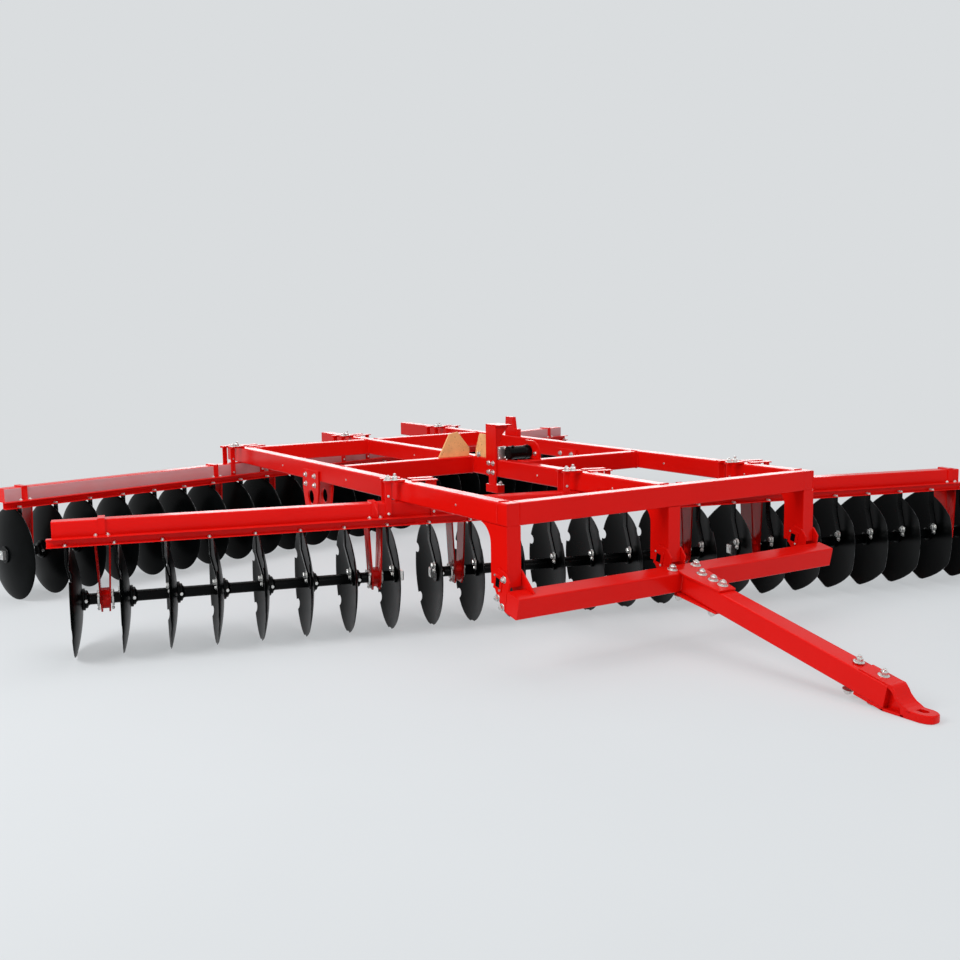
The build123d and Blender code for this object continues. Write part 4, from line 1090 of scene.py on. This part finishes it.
class OBJECT_OT_harrow_frame_bolts(HarrowOperator, bpy.types.Operator):
    """Bolts of the rocker brackets, the cylinder's lug and the gussets, and the rails' plugs"""
    bl_idname = "harrow.frame_bolts"
    bl_label = "Frame bolts"

    def make(self):
        bm = bmesh.new()
        small, zero = size("small_bolt"), ZERO.to_translation()
        for side in SIDES:
            for face in SIDES:
                y = side * RAIL_Y + face * (RAIL_WIDTH / 2 + 15)
                spots = [(x, y, z) for z in (836, 770) for x in (-2590, -2440)]
                bolts(bm, ZERO, (0, face, 0), spots, 1.2 * small)
        low, high = corners("cylinder_anchor")
        for along in (0.25, 0.7):
            x = low.x + along * (high.x - low.x) - zero.x
            for side, y in ((1, high.y), (-1, low.y)):
                bolts(bm, ZERO, (0, side, 0), [(x, y - zero.y, FRAME_TOP + 38)], small)
        # the nut between the two gussets, and small plugs on the rails' sides
        bolts(bm, ZERO, (1, 0, 0.3), [(-2095, -24, FRAME_TOP + 14)], 1.1 * size("bolt"))
        for rail in RAILS:
            spots = [(x, rail - RAIL_WIDTH / 2, FRAME_BOTTOM + 58) for x in (-520, -1330, -1950, -3050)]
            bolts(bm, ZERO, (0, -1, 0), spots, RAIL_PLUG, washer=False, head=4)
        piece("frame_bolts", bm, "zinc", "frame")


class OBJECT_OT_harrow_welds(HarrowOperator, bpy.types.Operator):
    """Hand-laid weld beads where the frame's tubes and plates meet"""
    bl_idname = "harrow.welds"
    bl_label = "Welds"

    def make(self):
        bm = bmesh.new()
        half, zero = RAIL_WIDTH / 2, ZERO.to_translation().y
        # the cross beams, each with the y of the rail on its right and on its left
        for node, *ends in (("mid_beam_right", -RAIL_Y, 0), ("mid_beam_left", 0, RAIL_Y),
                            ("rear_beam_right", -RAIL_Y, 0), ("rear_beam_left", 0, RAIL_Y)):
            low, high = corners(node)
            for rail, side in zip(ends, (1, -1)):
                y = zero + rail + side * (half + 2)
                for x in (low.x, high.x):
                    weld_line(bm, (x, y, low.z + 10), (x, y, high.z - 10))
                for z in (low.z, high.z):
                    weld_line(bm, (low.x + 10, y, z), (high.x - 10, y, z))
        # where the rails meet the front beam
        x = BEAM_LOW.x - 2
        for rail in RAILS:
            right, left = zero + rail - half, zero + rail + half
            for y in (right, left):
                weld_line(bm, (x, y, FRAME_BOTTOM + 10), (x, y, FRAME_TOP - 10))
            for z in (FRAME_BOTTOM, FRAME_TOP):
                weld_line(bm, (x, right + 10, z), (x, left - 10, z))
        piece("frame_welds", bm, "paint", "frame")
        bm = bmesh.new()
        # the drawbar's root on the cross tube
        x = DRAWBAR_ROOT + 2
        for y in (-HITCH_TUBE / 2, HITCH_TUBE / 2):
            weld_line(bm, HITCH @ Vector((x, y, HITCH_LOW + 12)), HITCH @ Vector((x, y, HITCH_RISE - 12)))
        piece("hitch_welds", bm, "paint", "hitch")


# Stage


def set_camera(scene):
    """Puts the camera where the photo was taken from."""
    azimuth, pitch, roll = (math.radians(a) for a in CAMERA_TURNS)
    up = Vector(UP)
    level = Vector((-math.cos(azimuth), math.sin(azimuth), 0))
    ahead = math.cos(pitch) * level + math.sin(pitch) * up
    right = level.cross(up)
    over = right.cross(ahead)
    right = math.cos(roll) * right + math.sin(roll) * over
    over = right.cross(ahead)
    data = bpy.data.cameras.new("photo_camera")
    data.lens, data.sensor_width, data.clip_end = CAMERA_LENS, CAMERA_SENSOR, 200
    camera = bpy.data.objects.new("photo_camera", data)
    scene.collection.objects.link(camera)
    turn = Matrix((right, over, -ahead)).transposed().to_4x4()
    camera.matrix_world = Matrix.Translation(CAMERA_PLACE) @ turn
    scene.camera = camera


def lay_floor(scene):
    """A wide floor, a little below the discs so that nothing lies in its plane."""
    bm = bmesh.new()
    bmesh.ops.create_grid(bm, x_segments=2, y_segments=2, size=FLOOR_HALF)
    mesh = bpy.data.meshes.new("floor")
    bm.to_mesh(mesh)
    bm.free()
    mesh.materials.append(finish_of("floor"))
    floor = bpy.data.objects.new("floor", mesh)
    scene.collection.objects.link(floor)
    floor.location.z = -FLOOR_DROP


def set_world(scene):
    """The plain backdrop for the camera and for gloss, and a dimmer fill for all other light."""
    scene.world = bpy.data.worlds.new("studio")
    scene.world.use_nodes = True
    tree = scene.world.node_tree
    tree.nodes.clear()
    pale = add(tree, "Background", {"Color": (*scene.harrow_colours.backdrop, 1), "Strength": 1.0})
    fill = add(tree, "Background", {"Color": (*linear(SKY_FILL), 1), "Strength": SKY_STRENGTH})
    both = add(tree, "MixShader", {"Fac": seen_rays(tree), 1: fill, 2: pale})
    add(tree, "OutputWorld", {"Surface": both})


def hang_lamps(scene):
    """Large soft lamps, which the camera doesn't see."""
    for name, (spot, target, width, depth, power) in LAMPS.items():
        data = bpy.data.lights.new(name, "AREA")
        data.shape, data.size, data.size_y, data.energy = "RECTANGLE", width, depth, power
        lamp = bpy.data.objects.new(name, data)
        scene.collection.objects.link(lamp)
        lamp.visible_camera = False
        lamp.location = spot
        lamp.rotation_euler = (Vector(target) - Vector(spot)).to_track_quat("-Z", "Y").to_euler()


class OBJECT_OT_harrow_stage(HarrowOperator, bpy.types.Operator):
    """Camera, floor, backdrop and soft studio light"""
    bl_idname = "harrow.stage"
    bl_label = "Stage"

    def make(self):
        scene = bpy.context.scene
        set_camera(scene)
        scene.view_settings.view_transform = "Standard"
        lay_floor(scene)
        set_world(scene)
        hang_lamps(scene)


OPERATORS = (OBJECT_OT_harrow_stage, OBJECT_OT_harrow_frame, OBJECT_OT_harrow_plates, OBJECT_OT_harrow_hitch,
             OBJECT_OT_harrow_tongue, OBJECT_OT_harrow_pins, OBJECT_OT_harrow_hitch_bolts,
             OBJECT_OT_harrow_gang_beams, OBJECT_OT_harrow_discs, OBJECT_OT_harrow_axles,
             OBJECT_OT_harrow_hangers, OBJECT_OT_harrow_scrapers, OBJECT_OT_harrow_clamps,
             OBJECT_OT_harrow_mast, OBJECT_OT_harrow_cylinder, OBJECT_OT_harrow_frame_bolts,
             OBJECT_OT_harrow_welds)


class VIEW3D_PT_harrow(bpy.types.Panel):
    """Buttons and sizes of the disc harrow"""
    bl_label = "Disc harrow"
    bl_space_type = "VIEW_3D"
    bl_region_type = "UI"
    bl_category = "Disc harrow"

    def draw(self, context):
        for group in (context.scene.harrow_sizes, context.scene.harrow_colours):
            column = self.layout.column(align=True)
            for name in group.__annotations__:
                column.prop(group, name)
        for operator in OPERATORS:
            self.layout.operator(operator.bl_idname)


CLASSES = (HarrowSizes, HarrowColours, *OPERATORS, VIEW3D_PT_harrow)


def register():
    for item in CLASSES:
        bpy.utils.register_class(item)
    bpy.types.Scene.harrow_sizes = PointerProperty(type=HarrowSizes)
    bpy.types.Scene.harrow_colours = PointerProperty(type=HarrowColours)


def unregister():
    del bpy.types.Scene.harrow_sizes, bpy.types.Scene.harrow_colours
    for item in reversed(CLASSES):
        bpy.utils.unregister_class(item)


def main():
    """Makes the whole scene."""
    register()
    for operator in OPERATORS:
        group, name = operator.bl_idname.split(".")
        getattr(getattr(bpy.ops, group), name)()


if __name__ == "__main__":
    main()
